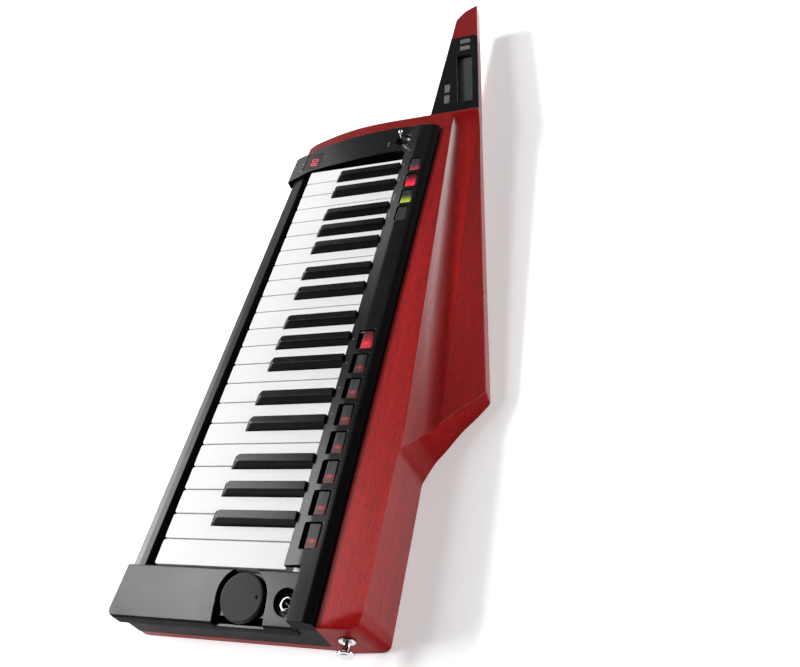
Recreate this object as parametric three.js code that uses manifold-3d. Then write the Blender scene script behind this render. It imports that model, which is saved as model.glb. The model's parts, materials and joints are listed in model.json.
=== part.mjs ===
// A shoulder keyboard with a wooden body: three octaves of slim keys on a black chassis, a carved
// wooden wing and a short wooden neck with its own panel.
// Millimetres. X runs from the key fronts towards the wing, Y from the tail towards the neck and
// Z up out of the keys. The keyboard is drawn first, with the tail-side front corner of the key
// tops at the origin, and the whole model is then set on its back.

import * as THREE from 'three';
import { mergeVertices } from 'three/addons/utils/BufferGeometryUtils.js';
import Module from 'manifold-3d';

const wasm = await Module();
wasm.setup();

// Clearances and one overrun for cuts
const SEAT_GAP = 0.3;
const SIDE_GAP = 0.5;
const OVERRUN = 4;

// Keyboard
const WHITE_COUNT = 22;
const WHITE_PITCH = 21;
const KEY_GAP = 1;
const KEY_SHOW = 110;
const KEY_EDGE = 0.7;
const KEY_CORNER = 1.4;
const WHITE_THICK = 8;
const WHITE_LIP = 15;
const WHITE_LIP_DEPTH = 12;
const KEY_STEP_DROP = 3.2;
const KEY_STEP_RUN = 4;
const BLACK_START = 37.5;
const BLACK_FOOT = 10.9;
const BLACK_CREST = 6.8;
const BLACK_RISE = 7.5;
const BLACK_FRONT_RUN = 5.7;
const BLACK_ROUND = 1.2;
const BLACK_END_GAP = 0.8;
const NOTCH_GAP = 0.75;
const AXLE_RADIUS = 2;
const AXLE_DROP = 10;
const AXLE_BACK = 18;
const AXLE_BEARING = 3;
const HOOK_WALL = 2.6;
const HOOK_GAP = 0.3;

// Heights of the body, from the key tops
const BODY_DEPTH = 47;
const FLOOR_THICK = 8;
const NECK_STEP = 2;

// Body plan
const BODY_LEFT = 20;
const BODY_TAIL = 37.5;
const WOOD_TAIL = 38.2;
const FLOOR_TAIL_SHY = 1.3;
const DECK_INNER = 143.2;
const SIDE_TOP = 175;
const SIDE_FLARE = 5;
const WALL_FOOT_Y = 94;
const CREASE_TAIL = 177;
const CREASE_NECK = 153.5;
const WING_TIP_X = 226;
const WING_TIP_Y = 171;
const SHOULDER_WIDTH = 22.3;
const SHOULDER_LEFT = 15.5;
const SHOULDER_DROP = 29.5;
const SHOULDER_CHEEK = 9;
const WING_EDGE_THICK = 16.3;
const COVE_HEAD = 7;
const COVE_HEAD_LENGTH = 26.5;
const COVE_HEAD_DEPTH = 6;
const SCOOP_TIP_WIDTH = 22;
const SCOOP_HEAD_WIDTH = 27;
const SCOOP_TIP_DEPTH = 16.5;
const SCOOP_HEAD_DEPTH = 6.5;
const TAIL_SKEW = 3.4;
const FACET_RUN = 31.6;
const FACET_CUT = 13;
const FACET_FALL = 4;
const FACET_TUCK = 3.6;

// Neck
const NECK_LEFT = 125.4;
const NECK_BASE_WIDTH = 56.1;
const NECK_TIP_WIDTH = 24.9;
const NECK_LENGTH = 240.3;
const NECK_TIP_RUN = 26.4;
const NECK_TIP_SHY = 9.6;
const NECK_SIDE = 17;
const NECK_THICK = 28;
const NECK_BEVEL = 9;
const NECK_PANEL_LENGTH = 164.6;
const NECK_PANEL_CORNER = 8;
const NECK_PANEL_THICK = 2.2;
const NECK_PANEL_WALL = 1.6;
const NECK_WELL_DEPTH = 9;
const NECK_WELL_INSET = 4;

// Control panel
const PANEL_RIGHT = 142.6;
const PANEL_LEFT = 25.6;
const PANEL_WALL = 2.6;
const PANEL_SKIRT = 8;
const PANEL_LEFT_RISE = 1;
const PANEL_INNER_RISE = 4.8;
const PANEL_CREST_RISE = 6.4;
const PANEL_EDGE_RISE = 3.2;
const PANEL_CREASE = 11.7;
const PANEL_EDGE_RUN = 5.4;
const ARM_DEPTH = 54.2;
const STRIP_TAIL_WIDTH = 18;
const STRIP_START = 1.2;
const STRIP_LIP = 1.3;
const DISH_RADIUS = 9.3;
const DISH_FLOOR_RADIUS = 5;
const DISH_DEPTH = 5;
const DISH_FROM_STRIP = 5.5;
const DISH_FROM_KEYS = 28.3;

// Buttons
const FAVOURITE_COUNT = 8;
const FAVOURITE_X = 126;
const FAVOURITE_FIRST_Y = 23.5;
const FAVOURITE_PITCH = 25.8;
const FAVOURITE_SLOT_WIDTH = 14.4;
const FAVOURITE_SLOT_LENGTH = 20.4;
const FUNCTION_COUNT = 4;
const FUNCTION_X = 127.1;
const FUNCTION_FROM_ARM = 96.9;
const FUNCTION_PITCH = 25.55;
const FUNCTION_SLOT_WIDTH = 12.2;
const FUNCTION_SLOT_LENGTH = 20.4;
const BUTTON_GAP = 0.9;
const BUTTON_SINK = 0.9;
const BUTTON_EDGE = 0.8;
const BUTTON_FLANGE = 1.2;
const BUTTON_FLANGE_THICK = 1;

// Display
const DISPLAY_X = -2.3;
const DISPLAY_FROM_KEYS = 18.6;
const DISPLAY_WIDTH = 19;
const DISPLAY_LENGTH = 26;
const DISPLAY_THICK = 1.1;

// Lever
const LEVER_RISE = 12.4;
const LEVER_TIP_RADIUS = 2.4;
const LEVER_STEM_RADIUS = 1.9;
const LEVER_BALL_RADIUS = 3;

// End panel, dial and jack
const END_GAP = 1;
const END_TOP_RISE = 0.9;
const END_FALL = 9.1;
const END_LIP = 20;
const END_LEFT = 22;
const END_FLARE = 8;
const END_CORNER = 4;
const DIAL_X = 79.5;
const DIAL_Y = 19.4;
const DIAL_RADIUS = 17.2;
const DIAL_THICK = 4.4;
const DIAL_SINK = 0.5;
const DIAL_EDGE = 0.9;
const DIAL_SHAFT_RADIUS = 3;
const DIAL_SHAFT = 12;
const DIMPLE_RADIUS = 1.6;
const DIMPLE_DEPTH = 0.8;
const DIMPLE_OUT = 12.6;
const DIAL_RECESS_RADIUS = 20.3;
const DIAL_RECESS_DEPTH = 5.4;
const JACK_X = 115;
const JACK_Y = 21;
const JACK_RECESS_RADIUS = 9;
const JACK_FLOOR = 9.6;
const JACK_NUT_RADIUS = 6.4;
const JACK_NUT_THICK = 2.2;
const JACK_COLLAR_RADIUS = 4.8;
const JACK_COLLAR = 1.2;
const JACK_BORE_RADIUS = 3.3;
const JACK_BODY = 12;
const JACK_BODY_DEPTH = 16;

// Long ribbon rail
const RAIL_OUTER = 21.5;
const RAIL_WIDTH = 12.5;
const RAIL_TOP = 1.6;
const RAIL_SHOULDER = 5.2;
const RAIL_ROUND = 8;
const RAIL_EDGE = 0.4;
const RAIL_BASE = 14;

// Chassis
const CHASSIS_WALL = 3;
const CHASSIS_FLOOR = 2.5;
const CHASSIS_LEFT = 21;
const CHASSIS_TAIL = 36.2;
const RIB_WIDTH = 2;
const POST_WIDTH = 7;
const POST_THICK = 3;
const STOP_BAR_X = 4;
const STOP_BAR_WIDTH = 7;
const STOP_BAR_DROP = 25.3;

// Battery bay and its cover
const BATTERY_X = 66;
const BATTERY_Y = 297;
const BATTERY_WIDTH = 48;
const BATTERY_LENGTH = 108;
const BATTERY_DEPTH = 16;
const BATTERY_WALL = 2.4;
const COVER_LAP = 4;
const COVER_THICK = 2.4;
const COVER_SINK = 0.3;

// Circuit board
const BOARD_X = 22;
const BOARD_Y = 60;
const BOARD_WIDTH = 84;
const BOARD_LENGTH = 160;
const BOARD_THICK = 1.6;
const CHIP_SIZE = 14;
const CHIP_THICK = 2;
const CHIP_COUNT = 3;

// Neck ribbon and buttons
const RIBBON_TOP_LEFT = 13.6;
const RIBBON_TOP_WIDTH = 18.4;
const RIBBON_LOW_LEFT = 29;
const RIBBON_LOW_WIDTH = 17;
const RIBBON_TOP_Y = 121;
const RIBBON_LOW_Y = 19;
const RIBBON_SINK = 4.6;
const RIBBON_THICK = 1.6;
const OCTAVE_X = 20.8;
const OCTAVE_Y = 144.2;
const OCTAVE_STEP_X = -2;
const OCTAVE_STEP_Y = 16.2;
const OCTAVE_WIDTH = 12;
const OCTAVE_LENGTH = 8.4;
const MODE_X = 13.7;
const MODE_Y = 39;
const MODE_STEP_X = -2.9;
const MODE_STEP_Y = 22.6;
const MODE_WIDTH = 6;
const MODE_LENGTH = 15.8;
const NECK_BUTTON_GAP = 0.5;
const NECK_BUTTON_RISE = 0.9;

// Strap pins
const PIN_X = 157.5;
const PIN_DROP = 23;
const PIN_COLLAR_RADIUS = 6;
const PIN_WAIST_RADIUS = 3;
const PIN_HEAD_RADIUS = 6.8;
const PIN_CROWN_RADIUS = 4.8;
const PIN_COLLAR = 2;
const PIN_LENGTH = 11;
const PIN_HEAD = 3.4;
const HEEL_PIN_Y = 24;
const HEEL_PIN_IN = 22;

// Outlines, as shares of the span and depth that they follow
const SHOULDER_CURVE_SHARES = [
  [1, 1], [0.75, 1], [0.577, 0.985], [0.402, 0.9], [0.236, 0.68], [0.156, 0.52], [0.075, 0.33],
  [0, 0],
];
const ARM_OUTER_SHARES = [
  [1, 0.855], [0.866, 0.942], [0.722, 0.996], [0.574, 1], [0.432, 0.974], [0.289, 0.899],
  [0.152, 0.766], [0.075, 0.637], [0.018, 0.563], [0, 0.498],
];
const ARM_INNER_SHARES = [
  [0, -0.25], [0.081, -0.1], [0.15, 0.018], [0.354, 0.11], [0.495, 0.157], [0.634, 0.192],
  [0.77, 0.175],
];
const ARM_CORNER_SHARE = 0.11;
const SCOOP_STEP_SHARES = [0, 0.1, 0.22, 0.36, 0.54, 0.76, 1];
const SCOOP_SLOPE_SHARES = [1.4, 1.1];
const SCOOP_LIMIT_SHARE = 0.92;
const END_WALL_SHARES = [
  [0.045, 0.085], [0.17, 0.265], [0.31, 0.395], [0.567, 0.645], [0.8, 0.824],
];
const NECK_CREST_SHARES = [[0, 0], [0.3, 0.53], [0.62, 0.83], [0.93, 1], [1, 0.9]];

// Places that follow from the sizes above
const KEYS_END = WHITE_COUNT * WHITE_PITCH;
const SHOULDER_Y = KEYS_END + ARM_DEPTH + SHOULDER_WIDTH;
const NECK_TIP_Y = SHOULDER_Y + NECK_LENGTH;
const DISPLAY_Y = KEYS_END + DISPLAY_FROM_KEYS;
const FUNCTION_FIRST_Y = KEYS_END - FUNCTION_FROM_ARM;
const BACK_Z = -BODY_DEPTH;
const FLOOR_TOP = BACK_Z + FLOOR_THICK;
const AXLE_X = KEY_SHOW + AXLE_BACK;
const STRIP_INNER = KEY_SHOW + SIDE_GAP;
const HOOK_RADIUS = AXLE_RADIUS + HOOK_GAP;
const CHASSIS_BASE = FLOOR_TOP + SEAT_GAP;
const CHASSIS_TOP_OF_FLOOR = CHASSIS_BASE + CHASSIS_FLOOR;
const END_WIDTH = PANEL_RIGHT - STRIP_TAIL_WIDTH - SEAT_GAP;
const END_SLOPE = Math.atan(END_FALL / (BODY_TAIL - END_GAP));
const NECK_TOP = -NECK_STEP;
const BUTTON_FLANGE_TOP = PANEL_CREST_RISE - PANEL_WALL - SEAT_GAP;

// Black keys, as shares of a white key either side of the gap that they stand over
const OCTAVE_WHITES = 7;
const BLACK_PLACE_SHARES = { c: 0.115, d: -0.128, f: 0.161, g: 0.001, a: -0.176 };
const TAIL_TO_NECK_NOTES = ['c', 'b', 'a', 'g', 'f', 'e', 'd'];
const TOP_OCTAVE = 6;

const redWood = new THREE.MeshStandardMaterial({ color: 0x9c1f22, roughness: 0.42, metalness: 0 });
const blackPanel = new THREE.MeshStandardMaterial({ color: 0x1b1c1e, roughness: 0.45, metalness: 0 });
const blackShell = new THREE.MeshStandardMaterial({ color: 0x101113, roughness: 0.6, metalness: 0 });
const whiteKey = new THREE.MeshStandardMaterial({ color: 0xf1f1ee, roughness: 0.25, metalness: 0 });
const blackKey = new THREE.MeshStandardMaterial({ color: 0x17181a, roughness: 0.35, metalness: 0 });
const buttonGrey = new THREE.MeshStandardMaterial({ color: 0x35383b, roughness: 0.3, metalness: 0 });
const ribbonGrey = new THREE.MeshStandardMaterial({ color: 0x2f3133, roughness: 0.55, metalness: 0 });
const dialGrey = new THREE.MeshStandardMaterial({ color: 0x2b2d31, roughness: 0.5, metalness: 0 });
const displaySmoke = new THREE.MeshStandardMaterial({ color: 0x1a0d0e, roughness: 0.15, metalness: 0 });
const chrome = new THREE.MeshStandardMaterial({ color: 0xd8dadc, roughness: 0.12, metalness: 1 });
const steel = new THREE.MeshStandardMaterial({ color: 0xa9abad, roughness: 0.35, metalness: 1 });
const boardGreen = new THREE.MeshStandardMaterial({ color: 0x1f5a36, roughness: 0.5, metalness: 0 });

const model = new THREE.Group();

// Solids and meshes

function toSolid(geometry, matrix) {
  const bare = geometry.clone();
  bare.deleteAttribute('normal');
  bare.deleteAttribute('uv');
  if (matrix) bare.applyMatrix4(matrix);
  const merged = mergeVertices(bare);
  return new wasm.Manifold(new wasm.Mesh({
    numProp: 3,
    vertProperties: new Float32Array(merged.attributes.position.array),
    triVerts: new Uint32Array(merged.index.array),
  }));
}

function addPart(name, solid, material) {
  const data = solid.getMesh();
  const geometry = new THREE.BufferGeometry();
  geometry.setAttribute('position', new THREE.BufferAttribute(data.vertProperties, 3));
  geometry.setIndex(new THREE.BufferAttribute(data.triVerts, 1));
  geometry.computeVertexNormals();
  const mesh = new THREE.Mesh(geometry, material);
  mesh.name = name;
  model.add(mesh);
}

function shapeOf(points) {
  return new THREE.Shape(points.map(([x, y]) => new THREE.Vector2(x, y)));
}

// A flat outline in X and Y, raised from low to high
function plate(points, low, high, matrix) {
  const geometry = new THREE.ExtrudeGeometry(shapeOf(points), { depth: high - low, bevelEnabled: false });
  geometry.translate(0, 0, low);
  return toSolid(geometry, matrix);
}

// A profile in X and Z, drawn out along Y
function barAlongY(points, low, high) {
  const geometry = new THREE.ExtrudeGeometry(shapeOf(points), { depth: high - low, bevelEnabled: false });
  const turn = new THREE.Matrix4().makeBasis(
    new THREE.Vector3(1, 0, 0),
    new THREE.Vector3(0, 0, 1),
    new THREE.Vector3(0, -1, 0),
  );
  turn.setPosition(0, high, 0);
  return toSolid(geometry, turn);
}

// A profile in Y and Z, drawn out along X
function barAlongX(points, low, high) {
  const geometry = new THREE.ExtrudeGeometry(shapeOf(points), { depth: high - low, bevelEnabled: false });
  const turn = new THREE.Matrix4().makeBasis(
    new THREE.Vector3(0, 1, 0),
    new THREE.Vector3(0, 0, 1),
    new THREE.Vector3(1, 0, 0),
  );
  turn.setPosition(low, 0, 0);
  return toSolid(geometry, turn);
}

function block(x0, x1, y0, y1, z0, z1) {
  const geometry = new THREE.BoxGeometry(x1 - x0, y1 - y0, z1 - z0);
  geometry.translate((x0 + x1) / 2, (y0 + y1) / 2, (z0 + z1) / 2);
  return toSolid(geometry);
}

// A turned piece about local Z: profile points are [radius, height], from the axis to the axis
function turned(profile, sides, matrix) {
  const geometry = new THREE.LatheGeometry(profile.map(([r, z]) => new THREE.Vector2(r, z)), sides);
  geometry.rotateX(Math.PI / 2);
  return toSolid(geometry, matrix);
}

function disc(radius, low, high, sides, matrix) {
  return turned([[0, low], [radius, low], [radius, high], [0, high]], sides, matrix);
}

// Rings with equally many corners, skinned over and capped. Caps are laid out across axes u and v.
function skin(rings, u, v) {
  const count = rings[0].length;
  const flatten = (ring) => ring.map((p) => new THREE.Vector2(p[u], p[v]));
  const backwards = THREE.ShapeUtils.isClockWise(flatten(rings[0])) !== (v === 1);
  const order = [...rings[0].keys()];
  if (backwards) order.reverse();
  const wound = rings.map((ring) => order.map((at) => ring[at]));
  const index = [];
  for (let s = 0; s + 1 < wound.length; s += 1) {
    for (let i = 0; i < count; i += 1) {
      const here = s * count + i;
      const next = s * count + ((i + 1) % count);
      index.push(here, next + count, next, here, here + count, next + count);
    }
  }
  const base = (wound.length - 1) * count;
  const capOf = (ring) => THREE.ShapeUtils.triangulateShape(flatten(ring), []);
  const turnedOver = v === 1;
  for (const [a, b, c] of capOf(wound[0])) index.push(a, turnedOver ? c : b, turnedOver ? b : c);
  for (const [a, b, c] of capOf(wound[wound.length - 1])) {
    index.push(base + a, base + (turnedOver ? b : c), base + (turnedOver ? c : b));
  }
  const geometry = new THREE.BufferGeometry();
  geometry.setAttribute('position', new THREE.Float32BufferAttribute(wound.flat(2), 3));
  geometry.setIndex(index);
  return toSolid(geometry);
}

// Outlines in X and Z at several places along Y
function loftAlongY(sections) {
  return skin(sections.map(({ y, points }) => points.map(([x, z]) => [x, y, z])), 0, 2);
}

function rectangle(x, y, width, length) {
  return [
    [x - width / 2, y - length / 2],
    [x + width / 2, y - length / 2],
    [x + width / 2, y + length / 2],
    [x - width / 2, y + length / 2],
  ];
}

function mix(a, b, share) {
  return a + (b - a) * share;
}

// Wooden body

const neckBaseRight = NECK_LEFT + NECK_BASE_WIDTH;

// The long right-hand edge runs straight from the wing tip to the neck
function wingEdgeX(y) {
  return mix(WING_TIP_X, neckBaseRight, (y - WING_TIP_Y) / (SHOULDER_Y - WING_TIP_Y));
}

function creaseX(y) {
  return mix(CREASE_TAIL, CREASE_NECK, (y - WALL_FOOT_Y) / (SHOULDER_Y - WALL_FOOT_Y));
}

const coveHeadY = SHOULDER_Y - COVE_HEAD;

function alongCove(y) {
  return (y - WING_TIP_Y) / (coveHeadY - WING_TIP_Y);
}

// One section of the cove: a steep scoop beside the deck's crease, then a flat slope to the edge.
// The rise share is 1 along the cove and falls to 0 where its head rounds up to the deck.
function coveProfile(y, riseShare) {
  const along = alongCove(y);
  const start = creaseX(y);
  const width = wingEdgeX(y) - start;
  const scoopWidth = Math.min(mix(SCOOP_TIP_WIDTH, SCOOP_HEAD_WIDTH, along), width * SCOOP_LIMIT_SHARE);
  const scoopDepth = mix(SCOOP_TIP_DEPTH, SCOOP_HEAD_DEPTH, along);
  const edgeDepth = mix(BODY_DEPTH - WING_EDGE_THICK, COVE_HEAD_DEPTH, along);
  const power = mix(...SCOOP_SLOPE_SHARES, along) * scoopWidth / scoopDepth;
  const scoop = SCOOP_STEP_SHARES.map((share) => [
    start + scoopWidth * share,
    -scoopDepth * riseShare * (1 - (1 - share) ** power),
  ]);
  const slope = (edgeDepth - scoopDepth) / (width - scoopWidth);
  const past = width + OVERRUN - scoopWidth;
  return [...scoop, [start + width + OVERRUN, -(scoopDepth + slope * past) * riseShare]];
}

// The body's outline at height z. The tail block's right side and the wing's end wall lean out
// towards the back, the wall less and less towards the tip.
function bodyRing(z) {
  const lean = -SIDE_FLARE * (z - BACK_Z) / BODY_DEPTH;
  const sideFoot = SIDE_TOP + SIDE_FLARE;
  const wall = END_WALL_SHARES.map(([sx, sy]) => [
    mix(sideFoot, WING_TIP_X, sx) + lean * (1 - sy ** 3),
    mix(WALL_FOOT_Y, WING_TIP_Y, sy),
  ]);
  const shoulder = SHOULDER_CURVE_SHARES.map(([sx, sy]) => [
    mix(-SHOULDER_LEFT, NECK_LEFT, sx),
    mix(SHOULDER_Y - SHOULDER_DROP, SHOULDER_Y, sy),
  ]);
  const outline = [
    [-BODY_LEFT, -BODY_TAIL + FLOOR_TAIL_SHY],
    [DECK_INNER - SIDE_GAP, -BODY_TAIL + FLOOR_TAIL_SHY],
    [DECK_INNER, -WOOD_TAIL],
    [sideFoot + lean, -WOOD_TAIL + TAIL_SKEW],
    [sideFoot + lean, WALL_FOOT_Y],
    ...wall,
    [WING_TIP_X, WING_TIP_Y],
    [neckBaseRight, SHOULDER_Y],
    ...shoulder,
    [-SHOULDER_LEFT, SHOULDER_Y - SHOULDER_DROP - SHOULDER_CHEEK],
    [-BODY_LEFT, SHOULDER_Y - SHOULDER_DROP - 2 * SHOULDER_CHEEK],
  ];
  return outline.map(([x, y]) => [x, y, z]);
}

// The hollow that falls from the deck's crease to the thin edge of the wing
function coveCut() {
  const stations = 5;
  const headStart = coveHeadY - COVE_HEAD_LENGTH;
  const sections = [];
  const addSection = (y, riseShare) => {
    const far = wingEdgeX(y) + OVERRUN;
    const points = [...coveProfile(y, riseShare), [far, OVERRUN], [creaseX(y), OVERRUN]];
    sections.push({ y, points });
  };
  for (let s = 0; s <= stations; s += 1) addSection(mix(WALL_FOOT_Y, headStart, s / stations), 1);
  for (let s = 1; s <= stations; s += 1) {
    const angle = Math.PI / 2 * s / stations;
    addSection(headStart + COVE_HEAD_LENGTH * Math.sin(angle), Math.cos(angle));
  }
  return loftAlongY(sections);
}

// The back of the wing is planed away towards the neck, so that its edge stays thin
function wingBackCut() {
  const sectionAt = (y) => {
    const edge = wingEdgeX(y);
    const foot = mix(BACK_Z, -WING_EDGE_THICK, alongCove(y));
    const lean = (foot - BACK_Z) / NECK_THICK;
    return {
      y,
      points: [
        [edge + OVERRUN, foot + OVERRUN * lean],
        [edge - NECK_THICK, BACK_Z],
        [edge - NECK_THICK, BACK_Z - OVERRUN],
        [edge + OVERRUN, BACK_Z - OVERRUN],
      ],
    };
  };
  return loftAlongY([sectionAt(WING_TIP_Y), sectionAt(coveHeadY)]);
}

function armPoint([sx, sy], grow) {
  return [
    mix(-PANEL_LEFT - grow, PANEL_RIGHT + grow, sx),
    KEYS_END + ARM_DEPTH * sy,
  ];
}

function armOuter(grow) {
  return ARM_OUTER_SHARES.map((share) => armPoint(share, grow)).map(([x, y]) => [x, y + grow]);
}

function armInner(grow) {
  return ARM_INNER_SHARES.map((share) => armPoint(share, grow)).map(([x, y]) => [x, y - grow]);
}

function keyboardBayCut() {
  const rim = armOuter(DECK_INNER - PANEL_RIGHT);
  const left = -PANEL_LEFT - OVERRUN;
  const outline = [
    [left, -WOOD_TAIL - OVERRUN],
    [DECK_INNER, -WOOD_TAIL - OVERRUN],
    ...rim,
    [left, KEYS_END],
  ];
  return plate(outline, FLOOR_TOP, OVERRUN);
}

// Everything near three points on the side that their anticlockwise order faces
function beyondPlane(a, b, c, reach) {
  const across = b.clone().sub(a).normalize();
  const out = across.clone().cross(c.clone().sub(a)).normalize();
  const along = out.clone().cross(across);
  const at = a.clone().add(b).add(c).divideScalar(3).addScaledVector(out, reach / 2);
  const place = new THREE.Matrix4().makeBasis(across, along, out).setPosition(at);
  return toSolid(new THREE.BoxGeometry(reach, reach, reach), place);
}

// Two facets take the tail block's outer corner off, one from the deck and one from the side
function tailFacetCuts() {
  const deckEnd = new THREE.Vector3(SIDE_TOP - FACET_RUN, -WOOD_TAIL, 0);
  const sideEnd = new THREE.Vector3(SIDE_TOP, -WOOD_TAIL + FACET_CUT, 0);
  const corner = new THREE.Vector3(SIDE_TOP - FACET_TUCK, -WOOD_TAIL + TAIL_SKEW, -FACET_FALL);
  const foot = new THREE.Vector3(SIDE_TOP + SIDE_FLARE, -WOOD_TAIL + TAIL_SKEW, BACK_Z);
  return beyondPlane(deckEnd, corner, sideEnd, 2 * FACET_RUN)
    .add(beyondPlane(sideEnd, corner, foot, 3 * FACET_RUN));
}

function neckRightX(y) {
  const tipRight = NECK_LEFT + NECK_TIP_WIDTH;
  return mix(neckBaseRight, tipRight, (y - SHOULDER_Y) / (NECK_TIP_Y - NECK_TIP_SHY - SHOULDER_Y));
}

function neckSolid() {
  const sectionAt = (y) => {
    const right = neckRightX(y);
    return {
      y,
      points: [
        [NECK_LEFT, NECK_TOP],
        [right, NECK_TOP],
        [right, NECK_TOP - NECK_SIDE],
        [right - NECK_BEVEL, NECK_TOP - NECK_THICK],
        [NECK_LEFT + NECK_BEVEL, NECK_TOP - NECK_THICK],
        [NECK_LEFT, NECK_TOP - NECK_SIDE],
      ],
    };
  };
  const bar = loftAlongY([sectionAt(SHOULDER_Y - OVERRUN), sectionAt(NECK_TIP_Y + OVERRUN)]);
  const crest = NECK_CREST_SHARES.map(([sx, sy]) => [
    mix(NECK_LEFT, neckRightX(NECK_TIP_Y - NECK_TIP_SHY), sx),
    mix(NECK_TIP_Y - NECK_TIP_RUN, NECK_TIP_Y, sy),
  ]);
  const right = NECK_LEFT + NECK_BASE_WIDTH + OVERRUN;
  const plan = plate(
    [
      [NECK_LEFT - OVERRUN, SHOULDER_Y - 2 * OVERRUN],
      [right, SHOULDER_Y - 2 * OVERRUN],
      [right, NECK_TIP_Y - NECK_TIP_RUN],
      ...crest.reverse(),
      [NECK_LEFT - OVERRUN, NECK_TIP_Y - NECK_TIP_RUN - OVERRUN],
    ],
    NECK_TOP - NECK_THICK - OVERRUN,
    NECK_TOP + OVERRUN,
  );
  return bar.intersect(plan);
}

const neckPanelStart = SHOULDER_Y + SEAT_GAP;
const neckPanelEnd = neckPanelStart + NECK_PANEL_LENGTH;

// The rounded outer corner at the far end of the neck panel, grown by grow
function neckPanelCorner(grow) {
  const steps = 4;
  const radius = NECK_PANEL_CORNER + grow;
  const y = neckPanelEnd - NECK_PANEL_CORNER;
  const x = neckRightX(y) - NECK_PANEL_CORNER;
  const points = [];
  for (let i = 0; i <= steps; i += 1) {
    const angle = Math.PI / 2 * i / steps;
    points.push([x + radius * Math.cos(angle), y + radius * Math.sin(angle)]);
  }
  return points;
}

// The neck's outline between two places along it, drawn in by inset on every side
function neckOutline(low, high, inset) {
  return [
    [NECK_LEFT + inset, low + inset],
    [neckRightX(low + inset) - inset, low + inset],
    [neckRightX(high - inset) - inset, high - inset],
    [NECK_LEFT + inset, high - inset],
  ];
}

function woodBody() {
  let body = skin([bodyRing(BACK_Z), bodyRing(0)], 0, 1);
  body = body.subtract(coveCut());
  body = body.subtract(wingBackCut());
  body = body.subtract(tailFacetCuts());
  body = body.subtract(keyboardBayCut());
  body = body.add(neckSolid());
  const seat = [
    [NECK_LEFT - OVERRUN, SHOULDER_Y],
    [neckBaseRight + OVERRUN, SHOULDER_Y],
    [neckBaseRight + OVERRUN, neckPanelEnd - NECK_PANEL_CORNER],
    ...neckPanelCorner(SEAT_GAP),
    [NECK_LEFT - OVERRUN, neckPanelEnd + SEAT_GAP],
  ];
  body = body.subtract(plate(seat, NECK_TOP - NECK_PANEL_THICK - SEAT_GAP, OVERRUN));
  const well = neckOutline(neckPanelStart, neckPanelEnd, NECK_WELL_INSET);
  body = body.subtract(plate(well, NECK_TOP - NECK_WELL_DEPTH, OVERRUN));
  const bay = rectangle(BATTERY_X, BATTERY_Y, BATTERY_WIDTH, BATTERY_LENGTH);
  body = body.subtract(plate(bay, BACK_Z - OVERRUN, FLOOR_TOP + OVERRUN));
  const lap = 2 * COVER_LAP;
  const rebate = rectangle(BATTERY_X, BATTERY_Y, BATTERY_WIDTH + lap, BATTERY_LENGTH + lap);
  const rebateTop = BACK_Z + COVER_SINK + COVER_THICK + SEAT_GAP;
  return body.subtract(plate(rebate, BACK_Z - OVERRUN, rebateTop));
}

addPart('wood_body', woodBody(), redWood);

// Control panel: the arm across the keyboard's neck end and the strip beside the keys

function panelOutline(inset) {
  const tailInner = PANEL_RIGHT - STRIP_TAIL_WIDTH + inset;
  return [
    [tailInner, -BODY_TAIL + inset],
    [PANEL_RIGHT - inset, -BODY_TAIL + inset],
    ...armOuter(-inset),
    ...armInner(-inset),
    [STRIP_INNER + inset, KEYS_END + ARM_DEPTH * ARM_CORNER_SHARE + inset],
    [STRIP_INNER + inset, STRIP_START + inset],
    [tailInner, STRIP_START + inset],
  ];
}

// The panel's top, a height for each place across it, lowered by sink
function panelTop(sink) {
  return [
    [-PANEL_LEFT - OVERRUN, PANEL_LEFT_RISE - sink],
    [STRIP_INNER, PANEL_INNER_RISE - sink],
    [STRIP_INNER + PANEL_CREASE, PANEL_CREST_RISE - sink],
    [PANEL_RIGHT - PANEL_EDGE_RUN, PANEL_CREST_RISE - sink],
    [PANEL_RIGHT, PANEL_EDGE_RISE - sink],
    [PANEL_RIGHT + OVERRUN, PANEL_EDGE_RISE - sink],
  ];
}

function panelLow() {
  return -BODY_TAIL - OVERRUN;
}

function panelHigh() {
  return KEYS_END + ARM_DEPTH + OVERRUN;
}

// Everything between the panel's top, lowered by sink, and a floor
function underPanel(sink, floor) {
  const points = [
    ...panelTop(sink),
    [PANEL_RIGHT + OVERRUN, floor],
    [-PANEL_LEFT - OVERRUN, floor],
  ];
  return barAlongY(points, panelLow(), panelHigh());
}

// The layer between two depths below the panel's top
function panelLayer(high, low) {
  const points = [...panelTop(high), ...panelTop(low).reverse()];
  return barAlongY(points, panelLow(), panelHigh());
}

const dishX = STRIP_INNER - DISH_FROM_STRIP;
const dishY = KEYS_END + DISH_FROM_KEYS;
const dishTop = PANEL_INNER_RISE;

function standAt(x, y, z) {
  return new THREE.Matrix4().makeTranslation(x, y, z);
}

function favouriteY(i) {
  return FAVOURITE_FIRST_Y + i * FAVOURITE_PITCH;
}

function functionY(i) {
  return FUNCTION_FIRST_Y + i * FUNCTION_PITCH;
}

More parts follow.
